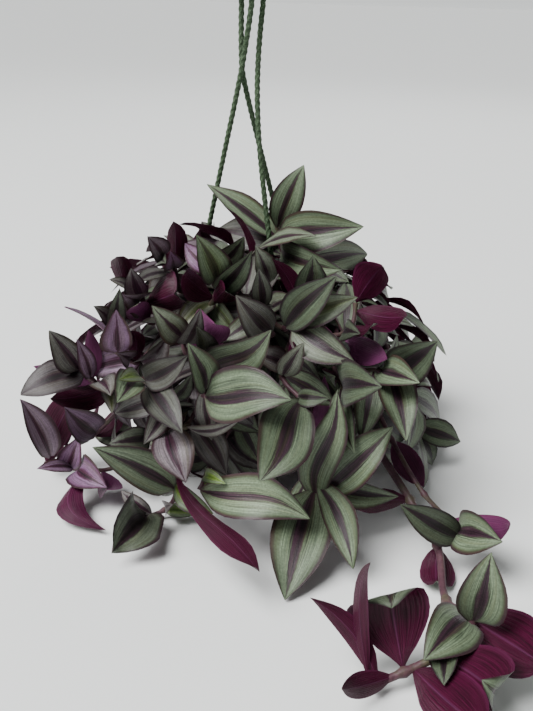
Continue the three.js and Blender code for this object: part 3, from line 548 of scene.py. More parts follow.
def leafTopMaterial():
    material, shader = newMaterial("leafTop", 0.42, 0.3)
    p = leafPattern(material)
    softEdge = noise(material, p["place"], 0.3, 2, 0.5)
    streakShift = about(material, p["grain"], 0.36)
    colour = leafBands(material, p, softEdge, streakShift)
    streaks = ramp(material, p["grain"], [(0.3, 0.3), (0.5, 0.92), (0.72, 1.35)])
    colour = mixed(material, 0.9, colour, streaks, "MULTIPLY")
    objectPlace = addNode(material, "ShaderNodeTexCoord").outputs["Object"]
    cells = noise(material, objectPlace, leafGrain["fine"], 2, 0.6)
    speckle = ramp(material, cells, [(0.32, 0.72), (0.52, 1.0), (0.7, 1.25)])
    colour = mixed(material, 0.7, colour, speckle, "MULTIPLY")
    # a thin dark margin, and olive patches
    edge = maths(material, "ADD", p["off"], maths(material, "MULTIPLY", streakShift, 0.2))
    margin = ramp(material, edge, [(0.82, 0.0), (0.91, 0.85), (1.0, 1.0)])
    colour = mixed(material, margin, colour, tint("margin"))
    olive = ramp(material, softEdge, [(0.48, 0.0), (0.75, 0.32)])
    colour = mixed(material, olive, colour, tint("olive"))
    line = ramp(material, p["off"], [(0.0, 1.0), (0.035, 0.0)])
    colour = mixed(material, maths(material, "MULTIPLY", line, 0.6), colour, tint("vein"))
    # a leaf is more purple at its foot, and some leaves are darker than others: partly a duller colour of
    # their own, partly painted shade, darkest on the leaves grown deep inside the foliage
    foot = ramp(material, p["v"], [(0.0, 0.9), (0.14, 0.2), (0.26, 0.0)])
    colour = mixed(material, foot, colour, tint("marginEdge"))
    dullnessAndShade = ramp(material, p["chance"], [(0.0, 0.4), (0.5, 0.82), (1.0, 1.15)])
    colour = mixed(material, 1.0, colour, dullnessAndShade, "MULTIPLY")
    link(material, colour, shader.inputs["Base Color"])
    gloss = ramp(material, p["grain"], [(0.3, 0.5), (0.7, 0.32)])
    link(material, gloss, shader.inputs["Roughness"])
    height = maths(material, "ADD", maths(material, "MULTIPLY", p["grain"], 0.7),
                   maths(material, "MULTIPLY", cells, 0.5))
    bump(material, shader, height, 0.0004, 0.6)
    shader.inputs["Sheen Weight"].default_value = 0.08
    return material


def leafUnderMaterial():
    material, shader = newMaterial("leafUnder", 0.4, 0.18)
    p = leafPattern(material)
    veins = maths(material, "SINE", maths(material, "MULTIPLY", p["u"], leafGrain["veins"] * 2 * math.pi))
    # painted light and shade: the underside's streaks run from its shaded through its plain to its lit colour
    base = ramp(material, p["grain"], [
        (0.3, tint("underShaded")),
        (0.6, tint("under")),
        (0.95, tint("underLit")),
    ])
    # painted light: undersides with a high chance are painted pinker, as light shining through the blade
    pink = ramp(material, p["chance"], [(0.62, 0.0), (1.0, 0.7)])
    colour = mixed(material, pink, base, tint("underPink"))
    # painted light: the margin of the underside takes the lit colour
    rim = ramp(material, p["off"], [(0.84, 0.0), (1.0, 0.5)])
    colour = mixed(material, rim, colour, tint("underLit"))
    ridge = ramp(material, p["off"], [(0.0, 0.22), (0.06, 0.0)])
    colour = mixed(material, ridge, colour, tint("underPink"))
    lines = ramp(material, veins, [(0.0, 0.86), (0.6, 1.0)])
    colour = mixed(material, 0.5, colour, lines, "MULTIPLY")
    colour = mixed(material, maths(material, "MULTIPLY", p["young"], 0.7), colour,
                   tint("budMid"))
    link(material, colour, shader.inputs["Base Color"])
    height = maths(material, "ADD", maths(material, "MULTIPLY", veins, 0.12), p["grain"])
    height = maths(material, "ADD", height, maths(material, "MULTIPLY", ridge, 1.5))
    bump(material, shader, height, 0.0005, 0.7)
    gloss = ramp(material, p["grain"], [(0.3, 0.48), (0.7, 0.34)])
    link(material, gloss, shader.inputs["Roughness"])
    return material


def stemMaterial():
    material, shader = newMaterial("stemSkin", 0.5, 0.4)
    place = addNode(material, "ShaderNodeTexCoord").outputs["Object"]
    patches = noise(material, place, 90, 3)
    fine = noise(material, place, 700, 3)
    colour = ramp(material, patches, [
        (0.3, tint("stemGreen")),
        (0.5, tint("stem")),
        (0.75, tint("stemDark")),
    ])
    specks = ramp(material, fine, [(0.35, 0.7), (0.6, 1.05)])
    link(material, mixed(material, 0.8, colour, specks, "MULTIPLY"), shader.inputs["Base Color"])
    bump(material, shader, fine, 0.0004, 0.5)
    return material


leafTop = leafTopMaterial()
leafUnder = leafUnderMaterial()
stemSkin = stemMaterial()


def cordMaterial():
    material, shader = newMaterial("cordYarn", 0.7, 0.3)
    place = addNode(material, "ShaderNodeTexCoord").outputs["Object"]
    fibres = noise(material, place, 1800, 3, 0.6)
    worn = noise(material, place, 120, 2)
    colour = ramp(material, fibres, [
        (0.3, hexColour("#182617")), (0.52, hexColour("#35472f")), (0.75, hexColour("#6c8064")),
    ])
    shade = ramp(material, worn, [(0.3, 0.8), (0.7, 1.15)])
    link(material, mixed(material, 0.8, colour, shade, "MULTIPLY"), shader.inputs["Base Color"])
    bump(material, shader, fibres, 0.0003, 0.8)
    return material


def potMaterial():
    material, shader = newMaterial("potPlastic", 0.5, 0.4)
    place = addNode(material, "ShaderNodeTexCoord").outputs["Object"]
    dust = noise(material, place, 60, 4)
    fine = noise(material, place, 900, 2)
    colour = ramp(material, dust, [
        (0.35, hexColour("#1d2320")), (0.55, hexColour("#262d29")), (0.8, hexColour("#4a473f")),
    ])
    link(material, colour, shader.inputs["Base Color"])
    link(material, ramp(material, dust, [(0.3, 0.42), (0.7, 0.65)]), shader.inputs["Roughness"])
    bump(material, shader, fine, 0.0002, 0.5)
    return material


def hangerMaterial():
    material, shader = newMaterial("hangerPlastic", 0.36, 0.5)
    place = addNode(material, "ShaderNodeTexCoord").outputs["Object"]
    cloud = noise(material, place, 80, 3)
    fine = noise(material, place, 1200, 2)
    colour = ramp(material, cloud, [(0.3, hexColour("#1c3d28")), (0.7, hexColour("#2a5237"))])
    link(material, colour, shader.inputs["Base Color"])
    link(material, ramp(material, cloud, [(0.3, 0.3), (0.7, 0.46)]), shader.inputs["Roughness"])
    bump(material, shader, fine, 0.0002, 0.4)
    return material


def soilMaterial():
    material, shader = newMaterial("peatSoil", 0.95, 0.2)
    place = addNode(material, "ShaderNodeTexCoord").outputs["Object"]
    crumbs = noise(material, place, 260, 5, 0.7)
    fibres = noise(material, place, 900, 4, 0.7, 1.5)
    colour = ramp(material, crumbs, [
        (0.3, hexColour("#160f0b")), (0.5, hexColour("#2e2119")), (0.72, hexColour("#5a4433")),
    ])
    light = ramp(material, fibres, [(0.4, 0.7), (0.7, 1.4)])
    link(material, mixed(material, 0.7, colour, light, "MULTIPLY"), shader.inputs["Base Color"])
    bump(material, shader, crumbs, 0.002, 0.9)
    return material


def perliteMaterial():
    material, shader = newMaterial("perlite", 0.9, 0.2)
    place = addNode(material, "ShaderNodeTexCoord").outputs["Object"]
    pores = noise(material, place, 1500, 3, 0.6)
    colour = ramp(material, pores, [(0.35, hexColour("#8f8c84")), (0.6, hexColour("#d9d6cd"))])
    link(material, colour, shader.inputs["Base Color"])
    bump(material, shader, pores, 0.0006, 0.8)
    return material


cordYarn = cordMaterial()
perlite = perliteMaterial()
potPlastic = potMaterial()
hangerPlastic = hangerMaterial()
peatSoil = soilMaterial()
print("materials made")

for name, (rope, ties) in ropes.items():
    rope.data.materials.append(cordYarn)
    for tie, node in zip(ties, ("rim_knot_" + name, "top_knot_" + name)):
        finish(tie, node, cordYarn)
bpy.data.objects.remove(masterKnot)

# The joints of the front shoots and the tips of their leaves are placed where the picture shows them.
dome = {"x": 0, "y": -15, "z": 45, "wide": 135, "long": 125, "high": 115, "outFrom": 30}
lowest = 2.2


def sightLine(pictureX, pictureY):
    u = pictureX - view["wide"] / 2
    v = pictureY - view["high"] / 2
    roll, pitch = rad(view["roll"]), rad(view["pitch"])
    right = (u * math.cos(roll) + v * math.sin(roll)) / view["focal"]
    down = (v * math.cos(roll) - u * math.sin(roll)) / view["focal"]
    return Vector((right, math.cos(pitch) - down * math.sin(pitch),
                   -math.sin(pitch) - down * math.cos(pitch))).normalized()


def farToHeight(line, z):
    return (z - view["eye"].z) / line.z


def seen(pictureX, pictureY, deep):
    # a joint seen at a place in the picture, that far inside the dome of foliage
    line = sightLine(pictureX, pictureY)
    size = (dome["wide"] - deep, dome["long"] - deep, dome["high"] - deep)
    centre = (dome["x"], dome["y"], dome["z"])
    start = [(view["eye"][i] - centre[i]) / size[i] for i in range(3)]
    step = [line[i] / size[i] for i in range(3)]
    squared = sum(s * s for s in step)
    b = sum(s * t for s, t in zip(start, step)) / squared
    c = (sum(s * s for s in start) - 1) / squared
    far = -b - math.sqrt(max(0, b * b - c))
    if line.z < 0:
        far = min(far, farToHeight(line, lowest))
    return view["eye"] + line * far


def atHeight(pictureX, pictureY, up):
    line = sightLine(pictureX, pictureY)
    return view["eye"] + line * farToHeight(line, up)


# Each shoot of the front: where its root stands (ring, turn), its joints outwards, and its leaves.
# A leaf is: on which joint, where its tip is seen (x, y), length, width, turn of the upper face from
# the viewer, arch, and where they differ, its fold and whether the tip points away.
shoots = {
    "crown": {
        "root": (0, 70),
        "joints": [seen(284, 268, 40), seen(280, 243, 25), seen(277, 228, 17)],
        "leaves": [
            (2, 300, 175, 43, 20, 10, 3),
            (2, 361, 226, 60, 26, -10, 6),
            (2, 209, 188, 56, 20, 35, 4, 13, "away"),
            (1, 211, 229, 46, 22, 15, 4, 13, "away"),
            (1, 360, 277, 62, 26, 0, 7),
            (0, 368, 254, 66, 24, 5, 5, 13, "away"),
        ],
    },
    "right_upper": {
        "root": (3, 8),
        "joints": [seen(335, 336, 26), seen(352, 325, 14), seen(356, 303, 8)],
        "leaves": [
            (2, 384, 265, 36, 20, 180, 3),
            (2, 408, 317, 38, 16, 160, 4),
            (1, 396, 320, 32, 12, 115, 3),
            (1, 382, 342, 26, 14, 0, 3),
            (0, 388, 360, 40, 16, 170, 3),
        ],
    },
    "centre_top": {
        "root": (1, 318),
        "joints": [seen(285, 328, 16), seen(298, 318, 8), seen(300, 296, 5)],
        "leaves": [
            (2, 313, 257, 30, 18, 25, 3),
            (2, 276, 266, 30, 12, 140, 3),
            (0, 335, 277, 52, 20, -10, 4),
            (1, 350, 300, 40, 19, 0, 4, 32),
            (1, 355, 362, 48, 20, 0, 5),
            (1, 337, 348, 34, 16, 180, 3),
        ],
    },
    "mid_top": {
        "root": (1, 262),
        "joints": [seen(272, 334, 20), seen(262, 308, 12), seen(268, 284, 7)],
        "leaves": [
            (0, 242, 301, 36, 20, 15, 4),
            (1, 259, 268, 30, 12, 20, 2),
            (2, 257, 247, 30, 14, 30, 3),
            (1, 240, 330, 30, 13, 10, 4),
        ],
    },
    "upper_left": {
        "root": (2, 190),
        "joints": [seen(212, 304, 16), seen(218, 284, 9), seen(214, 262, 5)],
        "leaves": [
            (1, 197, 237, 42, 18, 0, 3),
            (1, 256, 248, 38, 15, 20, 3),
            (2, 244, 238, 28, 14, 30, 3),
            (2, 192, 230, 32, 13, 10, 3),
            (0, 244, 273, 34, 14, 175, 3),
            (0, 192, 320, 26, 14, 20, 5),
            (0, 228, 322, 26, 12, 10, 5),
        ],
    },
    "back_left": {
        "root": (3, 158),
        "joints": [seen(180, 290, 22), seen(174, 268, 12), seen(162, 260, 4)],
        "leaves": [
            (2, 147, 236, 28, 13, 20, 3),
            (2, 138, 248, 26, 10, 170, 2),
            (2, 168, 238, 28, 12, 10, 3),
            (1, 174, 225, 34, 12, 170, 2),
            (1, 146, 280, 30, 12, 60, 3),
        ],
    },
    "left_upper": {
        "root": (4, 196),
        "joints": [seen(150, 322, 18), seen(142, 299, 10), seen(126, 291, 5)],
        "leaves": [
            (2, 117, 254, 30, 12, 165, 3),
            (1, 131, 268, 26, 13, 0, 3),
            (2, 106, 277, 22, 10, 60, 3),
            (1, 193, 286, 40, 22, 180, 7),
            (2, 93, 290, 30, 17, 0, 4),
            (0, 127, 290, 36, 14, 180, 3),
            (0, 186, 306, 34, 20, 10, 4, 28),
        ],
    },
    "left_mid": {
        "root": (4, 184),
        "joints": [seen(136, 362, 20), seen(118, 352, 9), seen(112, 328, 5)],
        "leaves": [
            (1, 116, 310, 34, 18, 0, 3),
            (1, 73, 315, 44, 12, 75, 4),
            (0, 132, 328, 28, 11, 175, 3),
            (1, 94, 345, 24, 15, 10, 3),
            (2, 93, 306, 24, 11, 30, 3),
            (2, 121, 284, 34, 11, 15, 3),
            (0, 168, 338, 34, 18, 10, 5, 30),
        ],
    },
    "left_low": {
        "root": (4, 207),
        "joints": [seen(108, 386, 18), seen(92, 380, 9), seen(79, 370, 4)],
        "leaves": [
            (2, 49, 330, 40, 17, 0, 3),
            (2, 30, 391, 44, 24, 15, 5),
            (2, 71, 324, 34, 11, 25, 3),
            (2, 33, 366, 32, 12, 180, 3),
            (1, 89, 338, 30, 10, 170, 2),
            (0, 112, 414, 26, 10, 0, 3),
        ],
    },
    "far_left": {
        "root": (4, 222),
        "joints": [seen(92, 436, 16), seen(62, 450, 7), seen(46, 464, 2)],
        "leaves": [
            (2, 87, 384, 62, 20, 178, 5),
            (2, 20, 399, 48, 18, 15, 4),
            (1, 101, 400, 42, 11, 115, 3),
            (0, 118, 410, 28, 13, 150, 4),
        ],
    },
    "low_left": {
        "root": (4, 234),
        "joints": [seen(116, 466, 18), atHeight(88, 470, 16), atHeight(68, 468, 13)],
        "leaves": [
            (2, 79, 438, 26, 15, 0, 3),
            (2, 33, 469, 26, 10, 30, 3),
            (2, 105, 486, 30, 20, 0, 4),
            (1, 107, 532, 44, 16, 165, -6),
            (1, 49, 503, 40, 13, 10, 3),
        ],
    },
    "left_front": {
        "root": (3, 218),
        "joints": [seen(164, 400, 20), seen(144, 380, 8), seen(134, 379, 5)],
        "leaves": [
            (1, 188, 355, 36, 17, 0, 3),
            (1, 176, 424, 42, 18, 0, 3),
            (0, 192, 376, 28, 12, 50, 3),
            (2, 117, 403, 32, 17, 0, 4),
            (0, 146, 440, 34, 14, 0, 4),
            (2, 101, 380, 26, 11, 20, 3),
        ],
    },
    "centre": {
        "root": (2, 238),
        "joints": [seen(206, 350, 22), seen(186, 352, 10), seen(182, 336, 6)],
        "leaves": [
            (1, 221, 318, 36, 22, 178, 5),
            (2, 152, 306, 32, 16, 0, 4),
            (0, 243, 332, 32, 14, 10, 3),
            (2, 206, 300, 30, 13, 30, 5),
        ],
    },
    "front_centre": {
        "root": (3, 252),
        "joints": [seen(208, 374, 20), seen(204, 396, 9)],
        "leaves": [
            (1, 292, 400, 54, 29, 0, 5),
            (0, 271, 330, 54, 24, 0, 4),
            (1, 188, 343, 38, 17, 30, 4),
            (1, 212, 443, 30, 12, 10, 4),
            (0, 176, 398, 30, 12, 40, 3),
        ],
    },
    "front_low": {
        "root": (4, 246),
        "joints": [seen(186, 426, 18), seen(168, 430, 10), seen(152, 440, 6)],
        "leaves": [
            (1, 184, 477, 34, 22, 0, 5),
            (0, 240, 420, 38, 10, 70, 4),
            (2, 119, 443, 26, 14, 0, 4),
            (2, 138, 476, 28, 14, 20, 4),
        ],
    },
    "rooting": {
        "root": (4, 258),
        "joints": [seen(170, 466, 14), seen(176, 490, 8), atHeight(164, 510, 6), atHeight(146, 517, 5)],
        "leaves": [
            (1, 84, 443, 62, 21, 0, 5),
            (0, 201, 502, 30, 13, 20, 8),
            (0, 274, 592, 92, 13, 160, 4, 30),
            (3, 112, 552, 40, 30, 0, 5, 22),
            (3, 124, 493, 22, 10, 0, 2),
            (2, 199, 513, 20, 9, 0, 2),
        ],
    },
    "front_bud": {
        "root": (3, 268),
        "joints": [seen(214, 456, 22), seen(200, 490, 8)],
        "leaves": [
            (1, 310, 519, 66, 25, 0, 6),
            (1, 230, 492, 18, 8, 0, 3, 30),
        ],
    },
    "mid_right": {
        "root": (3, 283),
        "joints": [seen(282, 376, 22), seen(302, 400, 8)],
        "leaves": [
            (1, 260, 481, 54, 30, 0, 5),
            (0, 304, 343, 30, 13, 15, 3),
            (0, 292, 349, 28, 10, 140, 3),
            (1, 329, 398, 20, 10, 20, 4),
            (0, 250, 352, 30, 14, 10, 3),
        ],
    },
    "front_right": {
        "root": (4, 284),
        "joints": [seen(312, 452, 22), seen(314, 478, 12), seen(318, 502, 5)],
        "leaves": [
            (2, 337, 390, 68, 22, -15, 6),
            (2, 389, 430, 58, 24, 0, 6),
            (2, 285, 600, 58, 31, 0, 5),
            (2, 356, 576, 50, 21, 0, 4),
            (1, 386, 494, 46, 19, 0, 3, 30),
            (1, 273, 556, 46, 13, 20, 3),
            (0, 325, 373, 44, 11, 160, 3),
        ],
    },
    "right_rosette": {
        "root": (4, 345),
        "joints": [seen(346, 366, 24), seen(374, 370, 11), seen(397, 373, 4)],
        "leaves": [
            (2, 437, 342, 38, 24, 0, 4),
            (2, 406, 440, 48, 20, 0, 4),
            (2, 461, 395, 46, 21, -15, 4),
            (2, 396, 337, 30, 16, 35, 3),
            (1, 362, 430, 40, 17, 10, 4),
        ],
    },
    "right_mid": {
        "root": (4, 320),
        "joints": [seen(336, 372, 26), seen(344, 388, 10)],
        "leaves": [
            (1, 405, 386, 46, 25, 0, 6),
            (0, 326, 398, 28, 12, 170, 3),
            (1, 352, 444, 38, 15, 30, 4),
        ],
    },
    "right_side": {
        "root": (4, 305),
        "joints": [
            seen(392, 440, 14), atHeight(424, 494, 30), atHeight(448, 520, 20), atHeight(461, 538, 14),
        ],
        "leaves": [
            (3, 400, 504, 44, 18, 0, 4),
            (2, 512, 528, 46, 18, 160, 8),
            (3, 517, 545, 36, 23, 0, 4),
            (0, 424, 487, 28, 16, 178, 3),
        ],
    },
    "right_trail": {
        "root": (3, 299),
        "joints": [
            seen(376, 446, 18), atHeight(410, 500, 24), atHeight(437, 545, 14), atHeight(446, 600, 10),
            atHeight(472, 622, 18), atHeight(440, 654, 14), atHeight(404, 672, 9), atHeight(370, 686, 6),
        ],
        "leaves": [
            (1, 370, 506, 32, 14, 160, 3),
            (2, 437, 577, 26, 20, 178, 4),
            (4, 491, 554, 42, 22, 0, 4),
            (4, 424, 660, 40, 24, 0, 5),
            (4, 548, 668, 54, 30, 178, 6),
            (5, 503, 700, 44, 28, 178, 6),
            (5, 444, 692, 22, 13, 0, 3),
            (7, 371, 562, 64, 13, 150, 8),
            (7, 317, 606, 46, 14, 170, 3),
            (7, 314, 697, 30, 11, 178, 3),
            (6, 394, 604, 44, 36, 178, 7),
            (6, 470, 716, 50, 26, 178, 5),
        ],
    },
}
# What is particular to one leaf, by its shoot and number: a green bud, an underside that shows more pink or
# less, a rolled or twisted blade. A chance, where given, also sets how dark the upper face is, partly its own
# dullness and partly painted shade, and the underside's pink is painted light shining through. A tone of 0 is
# silver-green and 1 is purple.
shapes = {
    ("rooting", 0): {"tone": 0.05, "chance": 0.8, "fold": 6, "wave": 0.6},
    ("rooting", 1): {"young": 1},
    ("rooting", 2): {"belly": 1.9, "chance": 0.6, "twist": 25, "fold": 8, "wave": 1.4, "bow": -3,
                     "sway": -2.5, "wide": 14},
    ("rooting", 3): {"tone": 0.1, "chance": 0.2, "wave": 3.4, "curl": 0.3, "twist": 30, "belly": 1.0},
    ("rooting", 5): {"young": 1},
    ("front_bud", 0): {"tone": 0, "chance": 0.95, "sway": 2, "wave": 1.5, "belly": 0.98},
    ("front_bud", 1): {"young": 1, "belly": 1.0},
    ("front_right", 0): {"tone": 0, "chance": 0.5, "sway": -3, "twist": 25, "belly": 0.85, "wave": 1.6},
    ("front_right", 1): {"tone": 0, "chance": 0.7, "wave": 1.4},
    ("front_right", 2): {"tone": 0, "chance": 0.62, "bow": 1, "twist": -12, "fold": 5},
    ("front_right", 3): {"tone": 0, "chance": 0.75, "bow": -4, "wide": 18, "belly": 1.15, "wave": 1.5,
                         "fold": 18},
    ("mid_right", 0): {"tone": 0, "chance": 0.35, "sway": 1.5, "wave": 1.6, "belly": 1.05},
    ("front_centre", 0): {"tone": 0, "chance": 0.55, "sway": 1.5, "wave": 1.4},
    ("front_centre", 1): {"tone": 0, "chance": 0.3, "sway": -2},
    ("left_front", 5): {"young": 0.8, "chance": 0.5},
    ("left_front", 3): {"tone": 0, "chance": 0.8},
    ("left_low", 5): {"young": 0.4, "chance": 0.4},
    ("left_low", 0): {"tone": 0.35, "chance": 0.6},
    ("left_low", 1): {"tone": 0.5, "chance": 0.1, "long": 36},
    ("left_low", 3): {"chance": 0.98},
    ("left_mid", 0): {"tone": 0.95, "chance": 1.0, "fold": 14},
    ("left_mid", 1): {"tone": 1, "chance": 0.9},
    ("left_upper", 4): {"tone": 0.8, "chance": 1.0, "curl": 0.3},
    ("back_left", 0): {"tone": 0.6, "chance": 0.9},
    ("back_left", 2): {"tone": 1, "chance": 1.0},
    ("upper_left", 3): {"tone": 1, "chance": 1.0},
    ("upper_left", 0): {"tone": 0, "chance": 0.5, "young": 0.2},
    ("upper_left", 5): {"young": 0.35, "curl": 0.6},
    ("upper_left", 6): {"young": 0.3, "curl": 0.6},
    ("centre_top", 3): {"young": 0.3},
    ("centre_top", 4): {"long": 41, "chance": 0.5},
    ("low_left", 0): {"tone": 1, "chance": 0.95, "curl": 0.3},
    ("low_left", 1): {"tone": 0.9, "chance": 0.7},
    ("low_left", 2): {"tone": 1, "chance": 0.8, "curl": 0.3},
    ("low_left", 3): {"bow": -15, "chance": 0.66, "belly": 0.9, "twist": 30},
    ("crown", 0): {"tone": 0, "chance": 0.9, "twist": 24},
    ("crown", 1): {"tone": 0, "chance": 0.8, "droop": 3},
    ("crown", 2): {"tone": 0, "chance": 0.7, "droop": -2},
    ("crown", 4): {"tone": 0, "chance": 0.9},
    ("far_left", 0): {"chance": 0.4, "bow": 4},
    ("right_trail", 1): {"roll": 60, "rollFrom": 0.6, "fold": 24, "chance": 0.6},
    ("right_trail", 2): {"tone": 0, "chance": 0.75},
    ("right_trail", 3): {"tone": 0, "chance": 0.6},
    ("right_trail", 4): {"fold": 18, "chance": 0.2, "roll": 40, "rollFrom": 0.75, "droop": 0},
    ("right_trail", 5): {"fold": 10, "chance": 0.35, "roll": 120, "rollFrom": 0.72, "droop": 0},
    ("right_trail", 7): {"wide": 9, "twist": 70, "chance": 0.5, "bow": 10, "belly": 1.0},
    ("right_trail", 8): {"wide": 11, "chance": 0.4, "fold": 24, "bow": -4},
    ("right_trail", 10): {"fold": 5, "curl": -0.08, "chance": 0.25, "roll": 140, "rollFrom": 0.68,
                          "droop": 0, "belly": 1.35},
    ("right_trail", 11): {"fold": 14, "chance": 0.4},
    ("centre", 0): {"chance": 0.97, "curl": 0.35, "twist": -30},
    ("left_upper", 5): {"chance": 1.0},
    ("left_upper", 3): {"chance": 0.1, "curl": 0.3},
    ("upper_left", 4): {"chance": 0.55, "curl": 0.3},
}

# More leaves that show between the others: shoot and joint, where the tip is seen (x, y), length,
# width, turn and arch, and the look. Each is bent clear of its neighbours, or left out.
tucked = [
    ("left_mid", 0, 84, 372, 34, 20, 0, 3, {"tone": 0.9}),
    ("left_low", 0, 70, 395, 36, 20, 180, 3, {"chance": 0.3}),
    ("left_low", 1, 62, 352, 34, 16, 160, 3, {"chance": 0.6}),
    ("far_left", 0, 66, 408, 44, 20, 0, 3, {"tone": 1}),
    ("far_left", 1, 58, 420, 30, 15, 170, 3, {"chance": 0.4}),
    ("left_upper", 1, 98, 275, 30, 13, 40, 3, {"tone": 1, "chance": 0.9}),
    ("back_left", 2, 157, 248, 26, 12, 165, 3, {"chance": 0.3}),
    ("back_left", 1, 184, 256, 32, 15, 175, 3, {"chance": 0.4}),
    ("upper_left", 2, 182, 240, 26, 12, 10, 3, {"tone": 1, "chance": 0.9}),
    ("upper_left", 1, 176, 268, 34, 16, 178, 4, {"chance": 0.1}),
    ("centre", 1, 196, 326, 30, 16, 20, 5, {"young": 0.25, "curl": 0.5}),
    ("rooting", 1, 196, 500, 28, 12, 20, 5, {"young": 0.9}),
    ("rooting", 2, 150, 520, 20, 9, 160, 2, {"chance": 0.4}),
    ("front_bud", 1, 226, 484, 22, 9, 0, 4, {"young": 1, "chance": 0.8, "fold": 24}),
    ("rooting", 1, 168, 462, 26, 13, 0, 5, {"young": 1, "chance": 0.9, "curl": 0.5}),
    ("low_left", 1, 100, 462, 24, 15, 10, 4, {"tone": 1, "chance": 0.9, "curl": 0.4}),
    ("right_trail", 7, 316, 695, 38, 11, 175, 3, {"chance": 0.4}),
    ("crown", 1, 213, 230, 44, 21, -10, 5, {"tone": 0, "chance": 0.7}),
    ("crown", 2, 232, 214, 34, 14, 150, 4, {"chance": 0.8}),
]

# The stems that fill the sides, the back and the inside, ring by ring round the dome.
rings = {
    "skirt": {"turns": [-18, 10, 38, 66, 94, 122, 150], "rootRing": 4, "height": 16, "deep": 24, "leaves": 6},
    "shoulder": {"turns": [22, 52, 84, 114, 146], "rootRing": 3, "height": 40, "deep": 20, "leaves": 6},
    "top": {"turns": [22, 86, 150], "rootRing": 1, "height": 108, "deep": 36, "leaves": 6},
    "peak": {"turns": [215, 258], "rootRing": 0, "height": 128, "deep": 28, "leaves": 6},
    "inner": {"turns": [206, 230, 254, 278, 302, 326], "rootRing": 4, "height": 30, "deep": 66, "leaves": 5},
}
ruledLeaves = [(0, 1), (1, -1), (2, 1), (2, -1), (3, 0), (3, 1), (3, -1)]  # joint, and hand of the stem
fill = {
    "seed": 41,
    "turn": (-5, 5),
    "height": (0, 8),
    "jointsAt": (0.42, 0.64, 0.84, 1),
    "start": {"out": 50, "share": 0.55, "up": 100},
    "bendAt": 0.6,
    "bendUp": 5,
    "long": (36, 54),
    "wideShare": (0.4, 0.5),
    "spread": 52,
    "spreadBy": (-12, 12),
    "outward": 0.18,
    "droop": 0.22,
    "lean": 24,
    "arch": (2, 6),
}
rootRings = [(4.2, 3), (11, 7), (17.5, 12), (23.9, 16), (30.3, 20)]  # distance out, places
stem = {
    "radius": 1.7, "soilTop": 77, "rootDeep": 28.4, "stepLength": 36, "leafGap": 4,
    "rise": 14, "arch": 4,
    "rimOut": 52, "rimOver": 97, "rimShare": 0.6,  # how a stem that hangs passes over the pot's rim
    "hangsBelow": 100, "hangsPast": 55,
    "slack": 0.02, "corners": 3,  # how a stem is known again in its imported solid
    "lifts": [0, 6, 12, 18, 24, 30, -4],
    "sways": [0, 6, -6, 12, -12, 18, -18, 24, -24],
}
ways = {"swings": [0, 8, -8, 16, -16, 25, -25, 36, -36], "rolls": [0, 22, -22], "sizes": [1, 0.88, 0.76]}
blade = {"thick": 0.7, "footOut": 0.6, "fold": 13, "foldsFrom": 16, "mostMiss": 0.04}


# The rule that places the filling shoots draws its numbers in one fixed order.
lastDraw = [fill["seed"]]


def draw(low, high):
    lastDraw[0] = (lastDraw[0] * 1664525 + 1013904223) % 4294967296
    return low + (high - low) * lastDraw[0] / 4294967296


def outwardAt(p):
    return Vector((
        (p.x - dome["x"]) / dome["wide"] ** 2,
        (p.y - dome["y"]) / dome["long"] ** 2,
        (p.z - dome["z"] + dome["outFrom"]) / dome["high"] ** 2,
    )).normalized()


def ruledShoot(ring, turn):
    around = turn + draw(*fill["turn"])
    z = ring["height"] + draw(*fill["height"])
    share = math.sqrt(1 - ((z - dome["z"]) / (dome["high"] - ring["deep"])) ** 2)
    end = Vector((
        dome["x"] + (dome["wide"] - ring["deep"]) * share * math.cos(rad(around)),
        dome["y"] + (dome["long"] - ring["deep"]) * share * math.sin(rad(around)),
        z,
    ))
    first = fill["start"]
    start = polar(min(first["out"], math.hypot(end.x, end.y) * first["share"]), around, first["up"])
    bend = start.lerp(end, fill["bendAt"])
    bend.z = max(start.z, end.z) + fill["bendUp"]
    joints = [start * (1 - t) ** 2 + bend * 2 * t * (1 - t) + end * t * t for t in fill["jointsAt"]]
    return {"root": (ring["rootRing"], around), "joints": joints, "leaves": ruledLeaves[-ring["leaves"]:]}


def ruledLeaf(foot, joints, on, hand):
    before = joints[on - 1] if on else Vector((0, 0, stem["soilTop"]))
    stemAhead = (joints[on] - before).normalized()
    out = outwardAt(foot)
    side = out.cross(stemAhead).normalized()
    spread = rad(fill["spread"] + draw(*fill["spreadBy"]))
    ahead = stemAhead * (math.cos(spread) if hand else 1) + side * hand * math.sin(spread)
    ahead += out * fill["outward"]
    ahead = (ahead + Vector((0, 0, -fill["droop"]))).normalized()
    long = draw(*fill["long"])
    tip = foot + ahead * long
    tip.z = max(tip.z, lowest + 1)
    chord = (tip - foot).normalized()
    face = (out - chord * out.dot(chord)).normalized()
    top = turned(face, chord, draw(-fill["lean"], fill["lean"]))
    wide = long * draw(*fill["wideShare"])
    arch = draw(*fill["arch"])
    return {"foot": foot, "tip": tip, "top": top, "look": out, "wide": wide, "arch": arch, "fold": 0}


